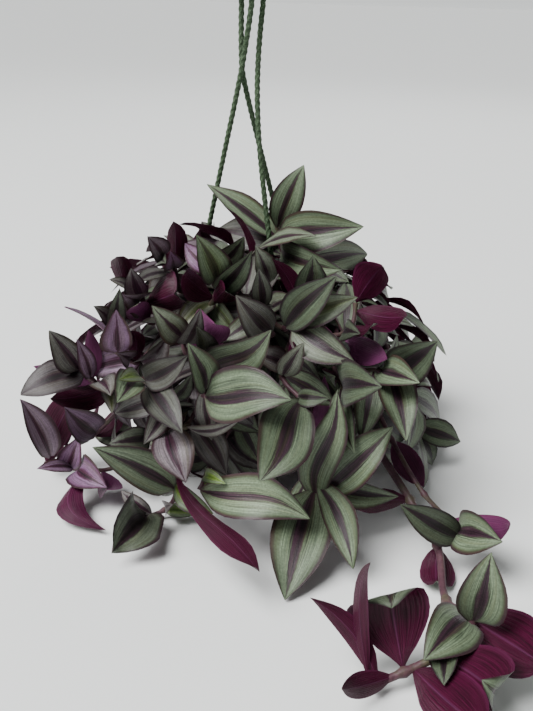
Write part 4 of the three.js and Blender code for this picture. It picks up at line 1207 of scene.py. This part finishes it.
def seenLeaf(foot, row):
    pictureX, pictureY, long, wide, turn, arch = row[1:7]
    line = sightLine(pictureX, pictureY)
    nearest = (foot - view["eye"]).dot(line)
    off = (foot - view["eye"] - line * nearest).length_squared
    reach = math.sqrt(max(0, long**2 - off))
    far = nearest + (reach if "away" in row else -reach)
    if line.z < 0:
        far = min(far, farToHeight(line, lowest))
    tip = view["eye"] + line * far
    ahead = (tip - foot).normalized()
    look = (view["eye"] - foot).normalized()
    face = (look - ahead * look.dot(ahead)).normalized()
    fold = row[7] if len(row) > 7 else (0 if wide < blade["foldsFrom"] else blade["fold"])
    return {"foot": foot, "tip": tip, "top": turned(face, ahead, turn), "look": look, "wide": wide,
            "arch": arch, "fold": fold}


def turnedAside(leaf, swing, roll):
    # the leaf's chord and upper face, swung towards or from the viewer and rolled
    chord = leaf["tip"] - leaf["foot"]
    axis = chord.cross(leaf["look"]).normalized()
    swung = turned(chord, axis, swing)
    return swung, turned(turned(leaf["top"], axis, swing), swung.normalized(), roll)


def waysOf(leaf):
    # the ways in which a leaf may be bent clear of its neighbours, the smallest change first
    for size in ways["sizes"]:
        for roll in ways["rolls"]:
            for swing in ways["swings"]:
                swung, top = turnedAside(leaf, swing, roll)
                yield {**leaf, "tip": leaf["foot"] + swung * size, "top": top,
                       "wide": leaf["wide"] * size, "arch": leaf["arch"] * size}


def stemRoute(hole, joints, lift, sway):
    rise = hole + Vector((0, 0, stem["rise"]))
    outwards = Vector((joints[0].x - hole.x, joints[0].y - hole.y, 0))
    sideways = Vector((-outwards.y, outwards.x, 0)).normalized()
    over = rise.lerp(joints[0], 0.5) + Vector((0, 0, stem["arch"] + lift))
    if joints[0].z < stem["hangsBelow"] and joints[0].xy.length > stem["hangsPast"]:
        share = min(stem["rimShare"], (stem["rimOut"] - hole.xy.length) / outwards.length)
        over = hole + outwards * share
        over.z = stem["rimOver"] + lift
    low = Vector((hole.x, hole.y, stem["soilTop"] - stem["rootDeep"]))
    return [low, hole, rise, over + sideways * sway, *joints]


def coarseSteps(route):
    stretches = [(b - a).length for a, b in zip(route, route[1:])]
    return [1] + [math.ceil(length / stem["stepLength"]) for length in stretches[1:]]


def footOn(points, joint, order):
    at = min(range(len(points)), key=lambda i: (points[i] - joint).length)
    left = stem["leafGap"] * order
    while at > 0:
        step = (points[at] - points[at - 1]).length
        if left <= step:
            return points[at].lerp(points[at - 1], left / step)
        left -= step
        at -= 1
    return points[0].copy()


def treeOf(node):
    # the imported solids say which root, arch and leaf positions each stem came to have
    tree = KDTree(len(nodes[node].data.vertices))
    for i, point in enumerate(nodes[node].data.vertices):
        tree.insert(point.co / mm, i)
    tree.balance()
    return tree


def ringAt(tree, place):
    # how many corners of the stem's section stand round a place
    found = tree.find_range(place, stem["radius"] + stem["slack"])
    return sum(1 for point, index, far in found if far > stem["radius"] - stem["slack"])


def standing(shoot, tree):
    places = [polar(out, 360 * i / count, stem["soilTop"]) for out, count in rootRings for i in range(count)]
    drop = Vector((0, 0, stem["rootDeep"]))
    hole = max(places, key=lambda p: ringAt(tree, p - drop))
    tries = [(lift, sway) for lift in stem["lifts"] for sway in stem["sways"]]
    best = max(tries, key=lambda t: ringAt(tree, stemRoute(hole, shoot["joints"], *t)[3]))
    route = stemRoute(hole, shoot["joints"], *best)
    if min(ringAt(tree, hole - drop), ringAt(tree, route[3])) < stem["corners"]:
        print("not found in the model:", shoot["name"])
    return route


def leafInModel(leaf, tree):
    # the way of the leaf whose two tip corners are in the solid, or none where the solid has no leaf
    best, bestMiss = None, blade["mostMiss"]
    for way in waysOf(leaf):
        ahead = (way["tip"] - way["foot"]).normalized()
        foot = way["foot"] + ahead * blade["footOut"]
        long = (way["tip"] - foot).length
        normal = (way["top"] + ahead * (4 * way["arch"] / long)).normalized()
        half = blade["thick"] / 2 / math.cos(rad(way["fold"]))
        miss = max(tree.find(way["tip"] + normal * half * face)[2] for face in (1, -1))
        if miss < bestMiss:
            best, bestMiss = way, miss
    return best


front = [{"name": "stem_" + name, "front": True, **shoot} for name, shoot in shoots.items()]
ruled = [
    {"name": f"stem_{name}_{i + 1}", "front": False, **ruledShoot(ring, turn)}
    for name, ring in rings.items() for i, turn in enumerate(ring["turns"])
]
plant = front + ruled
for shoot in plant:
    tree = treeOf(shoot["name"])
    shoot["route"] = standing(shoot, tree)
    points = smoothPath(shoot["route"], coarseSteps(shoot["route"]))
    shoot["blades"] = []
    for number, row in enumerate(shoot["leaves"]):
        order = sum(1 for earlier in shoot["leaves"][:number] if earlier[0] == row[0])
        foot = footOn(points, shoot["joints"][row[0]], order)
        leaf = seenLeaf(foot, row) if shoot["front"] else ruledLeaf(foot, shoot["joints"], *row)
        found = leafInModel(leaf, tree)
        if found:
            found["number"] = number
            shoot["blades"].append(found)
        else:
            print("no solid leaf", shoot["name"], number)
print("leaves found in the model:", sum(len(shoot["blades"]) for shoot in plant))

# The leaf is modelled twice, as a pointed oval that is thin at its margin: a small one, and a finer
# one for the large leaves at the front.
leafForm = {
    "small": {"columns": 4, "rows": [0, 0.05, 0.14, 0.26, 0.4, 0.55, 0.7, 0.83, 0.94, 1]},
    "large": {
        "columns": 6,
        "rows": [0, 0.03, 0.07, 0.13, 0.2, 0.28, 0.37, 0.46, 0.55, 0.64, 0.73, 0.81, 0.88, 0.94, 0.98, 1],
    },
    "largeFrom": 34,  # length
    "thick": 0.55,
    "waves": 1.7,
    "waveHeight": 0.8,
    "tipDraw": 0.4,
    "neck": 0.2,
    "thinnest": 0.001,
    "rowSlack": 0.004,
    "twistFrom": 0.35,
    "foldAtFoot": 1.35,
    "foldLoss": 0.6,
    "smoothAngle": 65,
}
# What differs from leaf to leaf is drawn between these.
leafChances = {
    "twist": (-22, 22),
    "droop": (-0.5, 2),
    "curl": (-0.1, 0.16),
    "wave": (0.4, 1),
    "bow": (-0.045, 0.045),
    "lean": (0.8, 1.25),
    "fold": (8, 18),
    "belly": (0.8, 0.98),
}


def bladeWidth(s, belly=0.88):
    # fuller than the plain solid, with a narrow foot and a drawn tip; a higher belly is widest further out
    if not 0 < s < 1:
        return 0
    oval = math.sin(math.pi * s**belly) ** 0.74
    return oval * min(1, s / leafForm["neck"]) ** 0.35 * (1 - leafForm["tipDraw"] * s**9)


def bladeEdge(s):
    # never quite nothing, so that a row keeps its points apart
    return max(bladeWidth(s), leafForm["thinnest"])


def spreadRows(leaf, rows):
    # each row of an even grid goes to its own share of the length and takes the blade's width there
    editing(leaf)
    for i, s in reversed(list(enumerate(rows))):
        even = i / (len(rows) - 1)
        selectPoints(leaf, lambda co: abs(co.y - even) < leafForm["rowSlack"] and abs(co.z) < 0.001)
        # rows that have moved already lie elsewhere, in the air
        bpy.ops.transform.resize(value=(bladeEdge(s), 1, 1), center_override=(0, even, 0))
        bpy.ops.transform.translate(value=(0, s - even, 1))
    bpy.ops.mesh.select_all(action="SELECT")
    bpy.ops.transform.translate(value=(0, 0, -1))


def addUnderside(leaf):
    # a second sheet with a material of its own, one below the first
    bpy.ops.mesh.duplicate()
    bpy.ops.mesh.flip_normals()
    bpy.ops.transform.translate(value=(0, 0, -1))
    bpy.ops.object.mode_set(mode="OBJECT")
    leaf.data.materials.append(leafTop)
    leaf.data.materials.append(leafUnder)
    for face in leaf.data.polygons:
        face.material_index = 1 if leaf.data.vertices[face.vertices[0]].co.z < -0.5 else 0
    bpy.ops.object.mode_set(mode="EDIT")
    bpy.ops.mesh.select_all(action="SELECT")
    bpy.ops.transform.translate(value=(0, 0, 0.5))


def closeMargin(leaf, rows):
    # both sheets meet along the margin
    def onMargin(co):
        row = min(range(len(rows)), key=lambda i: abs(rows[i] - co.y))
        return row in (0, len(rows) - 1) or abs(abs(co.x) - bladeEdge(rows[row]) / 2) < 1e-4

    selectPoints(leaf, onMargin)
    bpy.ops.transform.resize(value=(1, 1, 0), center_override=(0, 0, 0))
    bpy.ops.mesh.remove_doubles(threshold=0.002)
    bpy.ops.object.mode_set(mode="OBJECT")


def modelLeaf(size):
    rows = leafForm[size]["rows"]
    deselectAll()
    bpy.ops.mesh.primitive_grid_add(
        x_subdivisions=leafForm[size]["columns"], y_subdivisions=len(rows) - 1, size=1, location=(0, 0.5, 0),
    )
    leaf = settle(bpy.context.object, size + "Leaf")
    spreadRows(leaf, rows)
    addUnderside(leaf)
    closeMargin(leaf, rows)
    print(size, "leaf modelled:", len(leaf.data.polygons), "faces")
    return leaf


masterLeaf = {size: modelLeaf(size) for size in ("small", "large")}


def formPoint(co):
    # a vertex of the modelled leaf as shares: along, across from the midrib, and face (1 up, -1 down)
    width = bladeWidth(co.y)
    return co.y, (co.x / (width / 2) if width > 0.01 else 0), co.z * 2


formPoints = {
    size: [formPoint(point.co) for point in leaf.data.vertices] for size, leaf in masterLeaf.items()
}
chance = random.Random(7)


def spineAt(leaf, s):
    # the middle of the blade at a share of its length, and the way its upper face looks there
    ahead, side, top, long = leaf["ahead"], leaf["side"], leaf["top"], leaf["long"]
    flat = min(s, leaf["rollFrom"])
    rise = 4 * leaf["arch"] * flat * (1 - flat) - leaf["droop"] * flat**4
    aside = 4 * leaf["bow"] * flat * (1 - flat) + leaf["sway"] * math.sin(2 * math.pi * flat)
    middle = leaf["foot"] + ahead * (flat * long) + top * rise + side * aside
    normal = (top - ahead * (4 * leaf["arch"] * (1 - 2 * flat) / long)).normalized()
    if s > flat:
        # from here on it is rolled over towards its underside
        share = (s - flat) / (1 - flat)
        bend = rad(leaf["roll"]) * share
        radius = (1 - flat) * long / rad(leaf["roll"])
        onward = normal.cross(side)
        middle += onward * (radius * math.sin(bend)) - normal * (radius * (1 - math.cos(bend)))
        normal = normal * math.cos(bend) + onward * math.sin(bend)
    return middle, normal


def bladePoint(leaf, s, across, face):
    # a share along and across of this leaf's own bent blade
    middle, normal = spineAt(leaf, s)
    twist = rad(leaf["twist"]) * (s - leafForm["twistFrom"])
    outwards = leaf["side"] * math.cos(twist) + normal * math.sin(twist)
    upwards = normal * math.cos(twist) - leaf["side"] * math.sin(twist)
    reach = leaf["wide"] / 2 * bladeWidth(s, leaf["belly"]) * leaf["lean"] ** (across * 0.5)
    fold = rad(leaf["fold"] * (leafForm["foldAtFoot"] - leafForm["foldLoss"] * s))
    rise = abs(across) * reach * math.sin(fold) + leaf["curl"] * reach * across**2
    ripple = math.sin(2 * math.pi * (leafForm["waves"] * s + leaf["phase"]) + across)
    rise += ripple * leaf["wave"] * across**2
    thick = leafForm["thick"] / 2 * face
    return middle + outwards * (across * reach * math.cos(fold)) + upwards * (rise + thick)


def drawn(name):
    return chance.uniform(*leafChances[name])


def fitLeaf(leaf, tone, young, shape=None):
    leaf["ahead"] = (leaf["tip"] - leaf["foot"]).normalized()
    leaf["long"] = (leaf["tip"] - leaf["foot"]).length
    leaf["side"] = leaf["ahead"].cross(leaf["top"])
    for name in ("twist", "droop", "curl"):
        leaf[name] = drawn(name)
    leaf["wave"] = leafForm["waveHeight"] * drawn("wave") * leaf["wide"] / 20
    leaf["phase"] = chance.uniform(0, 1)
    leaf["bow"] = drawn("bow") * leaf["long"]
    leaf["lean"] = drawn("lean")
    leaf["fold"] = leaf["fold"] or drawn("fold")
    leaf["chance"] = chance.uniform(0, 1)
    leaf.update({"tone": tone, "young": young, "rollFrom": 1, "roll": 0, "sway": 0, "belly": drawn("belly")})
    leaf.update(shape or {})
    return leaf


def addLeaf(leaf, front):
    size = "large" if front and leaf["long"] > leafForm["largeFrom"] else "small"
    obj = masterLeaf[size].copy()
    obj.data = masterLeaf[size].data.copy()
    bpy.context.collection.objects.link(obj)
    coords = []
    for s, across, face in formPoints[size]:
        coords.extend(bladePoint(leaf, s, across, face) * mm)
    obj.data.vertices.foreach_set("co", coords)
    for name in ("tone", "young", "chance"):
        data = obj.data.attributes.new(name, "FLOAT", "POINT")
        data.data.foreach_set("value", [leaf[name]] * len(formPoints[size]))
    return obj


# A stem is a soft curve with a knob at every joint.
stemLook = {
    "radius": 1.45,
    "trailRadius": 2.1,
    "tip": 1.0,
    "knob": 0.5,
    "knobLength": 1.6,
    "knobsFrom": 40,
    "between": 17,
    "step": 3,
}


def stemPath(route):
    steps = [max(1, round((b - a).length / stemLook["step"])) for a, b in zip(route, route[1:])]
    path = smoothPath(route, steps)
    lengths = [0]
    for a, b in zip(path, path[1:]):
        lengths.append(lengths[-1] + (b - a).length)
    return path, lengths


def addStem(shoot):
    path, lengths = shoot["path"], shoot["lengths"]
    joints = []
    for joint in shoot["route"][3:]:
        nearest = min(range(len(path)), key=lambda i: (path[i] - joint).length)
        joints.append(lengths[nearest])
    joints += range(stemLook["knobsFrom"], int(joints[0]), stemLook["between"])
    thick = stemLook["trailRadius"] if shoot["name"] == "stem_right_trail" else stemLook["radius"]
    radii = []
    for i in range(len(path)):
        near = min(abs(lengths[i] - at) for at in joints)
        knob = stemLook["knob"] * math.exp(-((near / stemLook["knobLength"]) ** 2))
        taper = 1 - (1 - stemLook["tip"] / stemLook["radius"]) * max(0, lengths[i] / lengths[-1] - 0.5)
        radii.append(thick * taper * (1 + knob))
    obj = tubeAlong(shoot["name"], path, radii)
    obj.data.materials.clear()
    obj.data.materials.append(stemSkin)
    if not obj.data.uv_layers:
        obj.data.uv_layers.new(name=leafGrain["map"])
    obj.data.uv_layers[0].name = leafGrain["map"]
    for name in ("tone", "young", "chance"):
        obj.data.attributes.new(name, "FLOAT", "POINT")
    return obj


tones = {"middle": 0.1, "across": 210, "spread": (-0.3, 0.35)}


def toneAt(place):
    # the left of the plant is more purple than its right
    return min(1, max(0, tones["middle"] - place.x / tones["across"] + chance.uniform(*tones["spread"])))


# More leaves grow between the modelled ones, each only where it is clear of everything.
extra = {
    "first": 24,  # how far along its stem the first one may stand
    "step": 6.5,
    "long": (24, 40),
    "wideShare": (0.42, 0.54),
    "spread": (28, 78),
    "swings": [0, 12, -12, 24, -24, 40, -40, 60],
    "rolls": [0, 30, -30],
    "under": 0.92,  # share of the dome that they stay inside
    "wholeDome": 3,  # no such limit
    # the chance of the leaves grown inside: low, so that their upper faces are painted darker, as shade
    "dullnessAndShade": (0, 0.45),
    "outward": (0, 0.5),
    "upward": (-0.5, 0.1),
    "lean": (-35, 35),
    "arch": (1, 5),
    "fold": (8, 20),
    "lowest": 1.2,
    "edge": 2.5,  # kept free inside the model's box
}
guard = {
    "rows": [0, 0.12, 0.4, 0.72, 0.97], "across": [-1, 0, 1], "half": 1.7, "until": 0.99,
    "foundFrom": 0.05, "ownFrom": 0.16,  # nearer its foot, a leaf may touch its own stem
    "stemHalf": 1.6, "stemPart": 4,
}
standIn = []  # what is there: its tree, centre, reach and shoot


def gridTree(rows):
    # a tree over a tube or sheet given as rows of points
    points = [point for row in rows for point in row]
    count = len(rows[0])
    faces = []
    for i in range(len(rows) - 1):
        for k in range(count):
            a, b = i * count + k, i * count + (k + 1) % count
            faces.append((a, b, b + count, a + count))
    return BVHTree.FromPolygons(points, faces)


def addObstacle(points, tree, owner):
    middle = sum(points, Vector()) / len(points)
    reach = max((point - middle).length for point in points)
    standIn.append((tree, middle, reach, owner))


def bladeGuard(leaf, start=0.0):
    # the room that a blade takes, as a closed strip round it
    rows = []
    for row in guard["rows"]:
        s = start + (guard["until"] - start) * row
        above = [bladePoint(leaf, s, across, guard["half"]) for across in guard["across"]]
        below = [bladePoint(leaf, s, across, -guard["half"]) for across in reversed(guard["across"])]
        rows.append(above + below)
    return rows


def isFree(leaf, owner, under):
    whole = bladeGuard(leaf)
    points = [point for row in whole for point in row]
    if not all(isInside(point, under) for point in points):
        return False
    middle = sum(points, Vector()) / len(points)
    reach = max((point - middle).length for point in points)
    wholeTree, outerTree = gridTree(whole), gridTree(bladeGuard(leaf, guard["ownFrom"]))
    for tree, centre, far, other in standIn:
        if (centre - middle).length > reach + far:
            continue
        if (outerTree if other == owner else wholeTree).overlap(tree):
            return False
    return True


def isInside(point, under):
    edge = extra["edge"]
    if point.z < extra["lowest"]:
        return False
    low, high = modelBox
    if any(not low[i] / mm + edge < point[i] < high[i] / mm - edge for i in (0, 1)):
        return False
    scaled = ((point.x - dome["x"]) / dome["wide"], (point.y - dome["y"]) / dome["long"],
              (point.z - dome["z"]) / dome["high"])
    return sum(part**2 for part in scaled) < under**2


def extraLeaf(foot, stemAhead, hand):
    out = outwardAt(foot)
    side = out.cross(stemAhead).normalized()
    spread = rad(chance.uniform(*extra["spread"]))
    ahead = stemAhead * math.cos(spread) + side * hand * math.sin(spread)
    ahead += out * chance.uniform(*extra["outward"])
    ahead = (ahead + Vector((0, 0, chance.uniform(*extra["upward"])))).normalized()
    long = chance.uniform(*extra["long"])
    face = (out - ahead * out.dot(ahead)).normalized()
    wide = long * chance.uniform(*extra["wideShare"])
    lean, arch, fold = (chance.uniform(*extra[name]) for name in ("lean", "arch", "fold"))
    return {"foot": foot, "tip": foot + ahead * long, "top": turned(face, ahead, lean), "look": out,
            "wide": wide, "arch": arch, "fold": fold}


def bentClear(wanted, tone, shape, owner, under):
    # the leaf, turned as little as leaves it clear of its neighbours, or none
    for roll in extra["rolls"]:
        for swing in extra["swings"]:
            swung, top = turnedAside(wanted, swing, roll)
            leaf = fitLeaf({**wanted, "tip": wanted["foot"] + swung, "top": top}, tone, 0, shape)
            if isFree(leaf, owner, under):
                rows = bladeGuard(leaf, guard["ownFrom"])
                addObstacle([point for row in rows for point in row], gridTree(rows), owner)
                return leaf
    return None


def tuckIn(shoot):
    grown = []
    taken = [row[0] for row in shoot["leaves"]]
    for name, on, *row, shape in tucked:
        if "stem_" + name != shoot["name"]:
            continue
        foot = footOn(shoot["path"], shoot["joints"][on], taken.count(on))
        taken.append(on)
        leaf = bentClear(seenLeaf(foot, [on, *row]), toneAt(foot), shape, shoot["name"], extra["wholeDome"])
        if leaf:
            grown.append(leaf)
        else:
            print("no room for", name, *row)
    return grown


def growExtras(shoot):
    path, lengths = shoot["path"], shoot["lengths"]
    hand, nextAt = chance.choice((1, -1)), extra["first"] + chance.uniform(0, extra["step"])
    grown = []
    for i, at in enumerate(lengths):
        if at < nextAt or i == 0:
            continue
        nextAt, hand = at + extra["step"], -hand
        stemAhead = (path[i] - path[i - 1]).normalized()
        wanted = extraLeaf(path[i], stemAhead, hand)
        # painted shade: a low chance darkens the upper face of a leaf grown inside the foliage
        look = {"chance": chance.uniform(*extra["dullnessAndShade"])}
        leaf = bentClear(wanted, toneAt(path[i]), look, shoot["name"], extra["under"])
        if leaf:
            grown.append(leaf)
    return grown


def noteStem(shoot):
    # the stem as an obstacle, in short lengths so that each is quickly ruled out
    path = shoot["path"]
    for i in range(0, len(path) - 1, guard["stemPart"]):
        part = path[i:i + guard["stemPart"] + 1]
        rows = []
        for k, point in enumerate(part):
            ahead = (part[min(k + 1, len(part) - 1)] - part[max(k - 1, 0)]).normalized()
            side = ahead.orthogonal().normalized() * guard["stemHalf"]
            up = ahead.cross(side)
            rows.append([point + side, point + up, point - side, point - up])
        addObstacle([point for row in rows for point in row], gridTree(rows), shoot["name"])


def noteNode(name):
    mesh = nodes[name].data
    points = [point.co / mm for point in mesh.vertices]
    tree = BVHTree.FromPolygons(points, [tuple(face.vertices) for face in mesh.polygons])
    addObstacle(points, tree, name)


def fitFound(shoot):
    # the leaves that the model has, with a look of their own
    for leaf in shoot["blades"]:
        shape = shapes.get((shoot["name"][5:], leaf["number"]))
        fitLeaf(leaf, toneAt(leaf["tip"]), 0, shape)
        rows = bladeGuard(leaf, guard["foundFrom"])
        addObstacle([point for row in rows for point in row], gridTree(rows), shoot["name"])


def addShoot(shoot):
    stemPiece = addStem(shoot)
    blades = [addLeaf(leaf, shoot["front"]) for leaf in shoot["blades"] + shoot["extras"]]
    deselectAll()
    for piece in blades + [stemPiece]:
        piece.select_set(True)
    bpy.context.view_layer.objects.active = stemPiece
    bpy.ops.object.join()
    pick(stemPiece)
    bpy.ops.object.shade_smooth_by_angle(angle=rad(leafForm["smoothAngle"]))
    stemPiece.name = "leafy_" + shoot["name"][5:]
    stemPiece.data.name = stemPiece.name
    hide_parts(shoot["name"])
    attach(stemPiece, "root")
    return stemPiece


for name in nodes:
    if not name.startswith("stem_"):
        noteNode(name)
for shoot in plant:
    shoot["path"], shoot["lengths"] = stemPath(shoot["route"])
    noteStem(shoot)
    fitFound(shoot)
for shoot in plant:
    shoot["extras"] = tuckIn(shoot)
print("leaves tucked in:", sum(len(shoot["extras"]) for shoot in plant))
for shoot in plant:
    shoot["extras"] += growExtras(shoot)
print("extra leaves:", sum(len(shoot["extras"]) for shoot in plant))
for shoot in plant:
    shoot["piece"] = addShoot(shoot)
for leaf in masterLeaf.values():
    bpy.data.objects.remove(leaf)
print("stems dressed:", len(plant))

pot = {
    "around": 72,
    "high": 86,
    "baseRadius": 33,
    "topRadius": 38.9,
    "wall": 1.6,
    "floor": 2.2,
    "rimRadius": 46.6,
    "rimThick": 2.6,
    "edge": 0.35,
    "cordHoles": [(-41.59, 5.85), (25.86, 33.1), (15.73, -38.94)],
    "cordHoleRadius": 2.1,
    "drains": 4,
    "drainOut": 20,
    "drainRadius": 2,
}
soil = {
    "top": 77, "gap": 0.4, "slope": 4, "rings": 6, "ringStep": 4.4, "rough": 1.1,
    "around": 48, "shoulder": 2, "brow": 0.6, "browSlack": 0.8,
    "crumbs": 120, "crumbSize": (0.5, 1.7), "within": 29, "crumbRough": 0.4, "flatness": 0.7, "perlite": 0.14,
}
hanger = {
    "x": -5.3, "y": -4, "plate": 270, "radius": 11.5, "thick": 3, "edge": 0.6, "boss": 3.6,
    "holesOut": 7, "holeRadius": 2.1, "holeTurns": (-90, 30, 150),
    "hookRadius": 10, "wire": 1.9, "hookCentre": 291, "firstTurn": -60, "lastTurn": 200, "turnStep": 13,
}


def wallAt(z):
    return pot["baseRadius"] + (pot["topRadius"] - pot["baseRadius"]) * z / (pot["high"] - pot["rimThick"])


def addPot():
    under, top, rim = pot["high"] - pot["rimThick"], pot["high"], pot["rimRadius"]
    obj = turnedUp("hangingPot", pot["around"], [
        (0, pot["baseRadius"] - 4), (0, pot["baseRadius"]), (6, wallAt(6)), (6.6, wallAt(6) + 0.5),
        (under - 9, wallAt(under - 9) + 0.5), (under - 8, wallAt(under - 8)), (under, pot["topRadius"]),
        (under, rim), (top, rim), (top, rim - 1.6), (top - 0.5, rim - 2.2),
        (top - 0.5, pot["topRadius"] + 0.6), (top, pot["topRadius"]), (top, pot["topRadius"] - pot["wall"]),
        (pot["floor"], wallAt(pot["floor"]) - pot["wall"]),
    ])
    doneEditing()
    soften(obj, pot["edge"])
    holes = [(x, y, pot["cordHoleRadius"], under - 1, top + 1) for x, y in pot["cordHoles"]]
    for i in range(pot["drains"]):
        at = polar(pot["drainOut"], 360 * i / pot["drains"] + 45, 0)
        holes.append((at.x, at.y, pot["drainRadius"], -1, pot["floor"] + 1))
    drill(obj, holes)
    finish(obj, "pot", potPlastic)
    print("pot modelled")


def addSoil():
    floor = pot["floor"] + soil["gap"]
    inside = pot["wall"] + soil["gap"]
    shoulder = soil["top"] - soil["shoulder"]
    edge = wallAt(shoulder) - inside
    obj = turnedUp("pottingSoil", soil["around"], [
        (floor, wallAt(floor) - inside), (shoulder, edge), (soil["top"] - soil["brow"], edge - soil["slope"]),
    ])
    for i in range(soil["rings"]):
        bpy.ops.mesh.inset(thickness=soil["ringStep"] * mm)
    selectPoints(obj, lambda co: co.z > (soil["top"] - soil["browSlack"]) * mm)
    bpy.ops.mesh.subdivide(number_cuts=1)
    selectPoints(obj, lambda co: co.z > (soil["top"] - soil["browSlack"]) * mm)
    bpy.ops.transform.vertex_random(offset=soil["rough"] * mm, uniform=0.4, seed=5)
    doneEditing()
    finish(obj, "soil", peatSoil, 60)
    addCrumbs(obj)
    print("soil modelled")


def addCrumbs(ground):
    # crumbs of bark and a few of perlite, modelled once and scattered
    deselectAll()
    bpy.ops.mesh.primitive_ico_sphere_add(subdivisions=1, radius=mm, location=(0, 0, 0))
    master = settle(bpy.context.object, "crumbForm")
    editing(master)
    bpy.ops.transform.vertex_random(offset=soil["crumbRough"] * mm, seed=2)
    doneEditing()
    master.data.materials.append(peatSoil)
    master.data.materials.append(perlite)
    scatter = random.Random(23)
    crumbs = []
    for i in range(soil["crumbs"]):
        place = polar(soil["within"] * math.sqrt(scatter.random()), scatter.uniform(0, 360), soil["top"])
        size = [scatter.uniform(*soil["crumbSize"]) for axis in range(3)]
        crumb = master.copy()
        crumb.data = master.data.copy()
        bpy.context.collection.objects.link(crumb)
        crumb.location = place * mm
        crumb.scale = (size[0], size[1], size[2] * soil["flatness"])
        crumb.rotation_euler = [scatter.uniform(0, 6) for axis in range(3)]
        kind = 1 if scatter.random() < soil["perlite"] else 0
        crumb.data.polygons.foreach_set("material_index", [kind] * len(crumb.data.polygons))
        crumbs.append(crumb)
    bpy.data.objects.remove(master)
    ground.data.materials.append(perlite)
    joinInto(ground, crumbs)


def addHanger():
    centre = (hanger["x"], hanger["y"])
    low, edge, radius = hanger["plate"], hanger["edge"], hanger["radius"]
    top = low + hanger["thick"]
    plate = turnedUp("hangerPlate", 64, [
        (low, radius - edge), (low + edge, radius), (top - edge, radius), (top, radius - edge),
        (top, hanger["boss"]), (top + 1.5, hanger["boss"] - 0.8), (top + 2.5, hanger["wire"]),
    ], centre)
    doneEditing()
    places = [Vector((*centre, 0)) + polar(hanger["holesOut"], turn, 0) for turn in hanger["holeTurns"]]
    drill(plate, [(place.x, place.y, hanger["holeRadius"], low - 1, top + 1) for place in places])
    route = [Vector((*centre, top - 1)), Vector((*centre, top + 3))]
    turn = hanger["firstTurn"]
    while turn <= hanger["lastTurn"]:
        around = Vector((math.cos(rad(turn)), 0, math.sin(rad(turn)))) * hanger["hookRadius"]
        route.append(Vector((*centre, hanger["hookCentre"])) + around)
        turn += hanger["turnStep"]
    path = smoothPath(route, [4] * (len(route) - 1))
    radii = [hanger["wire"]] * (len(path) - 3) + [hanger["wire"] * share for share in (0.96, 0.8, 0.45)]
    hook = tubeAlong("hangerHook", path, radii)
    joinInto(plate, [hook])
    finish(plate, "hanger", hangerPlastic)
    print("hanger modelled")


addPot()
addSoil()
addHanger()

studio = {
    "floorSize": 2000,
    "aim": Vector((0, -0.02, 0.1)),
    "key": {"at": (-1.25, -0.85, 1.6), "size": 1.2, "power": 40},
    "rim": {"at": (0.5, 1.6, 1.6), "size": 1.4, "power": 10},
    "sun": {"from": (-0.45, -0.2, 0.87), "angle": 36, "strength": 3.9},
    "air": {"level": 1.2, "low": 0.0, "overhead": 0.2, "high": 0.16},
}


def addFloor():
    deselectAll()
    bpy.ops.mesh.primitive_plane_add(size=studio["floorSize"], location=(0, 0, 0))
    floor = settle(bpy.context.object, "studioFloor")
    material, shader = newMaterial("paleFloor", 0.8, 0.2)
    shader.inputs["Base Color"].default_value = hexColour("#eceeed")
    floor.data.materials.append(material)
    floor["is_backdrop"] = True


def addLight(name, at, size, power):
    data = bpy.data.lights.new(name, "AREA")
    data.size = size
    data.energy = power
    light = bpy.data.objects.new(name, data)
    bpy.context.collection.objects.link(light)
    place = Vector(at)
    aim = studio["aim"] - place
    light.matrix_world = Matrix.Translation(place) @ aim.to_track_quat("-Z", "Y").to_matrix().to_4x4()


def addSun(towards, angle, strength):
    data = bpy.data.lights.new("sun", "SUN")
    data.angle = rad(angle)
    data.energy = strength
    sun = bpy.data.objects.new("sun", data)
    bpy.context.collection.objects.link(sun)
    sun.matrix_world = Vector(towards).to_track_quat("Z", "Y").to_matrix().to_4x4()


def addAir():
    # bright round the horizon, where it meets the far floor, and dimmer overhead
    world = bpy.data.worlds.new("studio")
    world.use_nodes = True
    tree = world.node_tree
    back = tree.nodes["Background"]
    back.inputs["Color"].default_value = hexColour("#e4e7e6")
    parts = tree.nodes.new("ShaderNodeSeparateXYZ")
    tree.links.new(tree.nodes.new("ShaderNodeTexCoord").outputs["Generated"], parts.inputs[0])
    level = tree.nodes.new("ShaderNodeMapRange")
    air = studio["air"]
    values = {
        "From Min": air["low"], "From Max": air["high"],
        "To Min": air["level"], "To Max": air["overhead"],
    }
    for name, value in values.items():
        level.inputs[name].default_value = value
    tree.links.new(parts.outputs["Z"], level.inputs["Value"])
    tree.links.new(level.outputs["Result"], back.inputs["Strength"])
    bpy.context.scene.world = world


addFloor()
for name in ("key", "rim"):
    addLight(name, **studio[name])
addSun(studio["sun"]["from"], studio["sun"]["angle"], studio["sun"]["strength"])
addAir()
print("studio set")

repr([[list(corner) for corner in box] for box in (modelBox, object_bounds())])
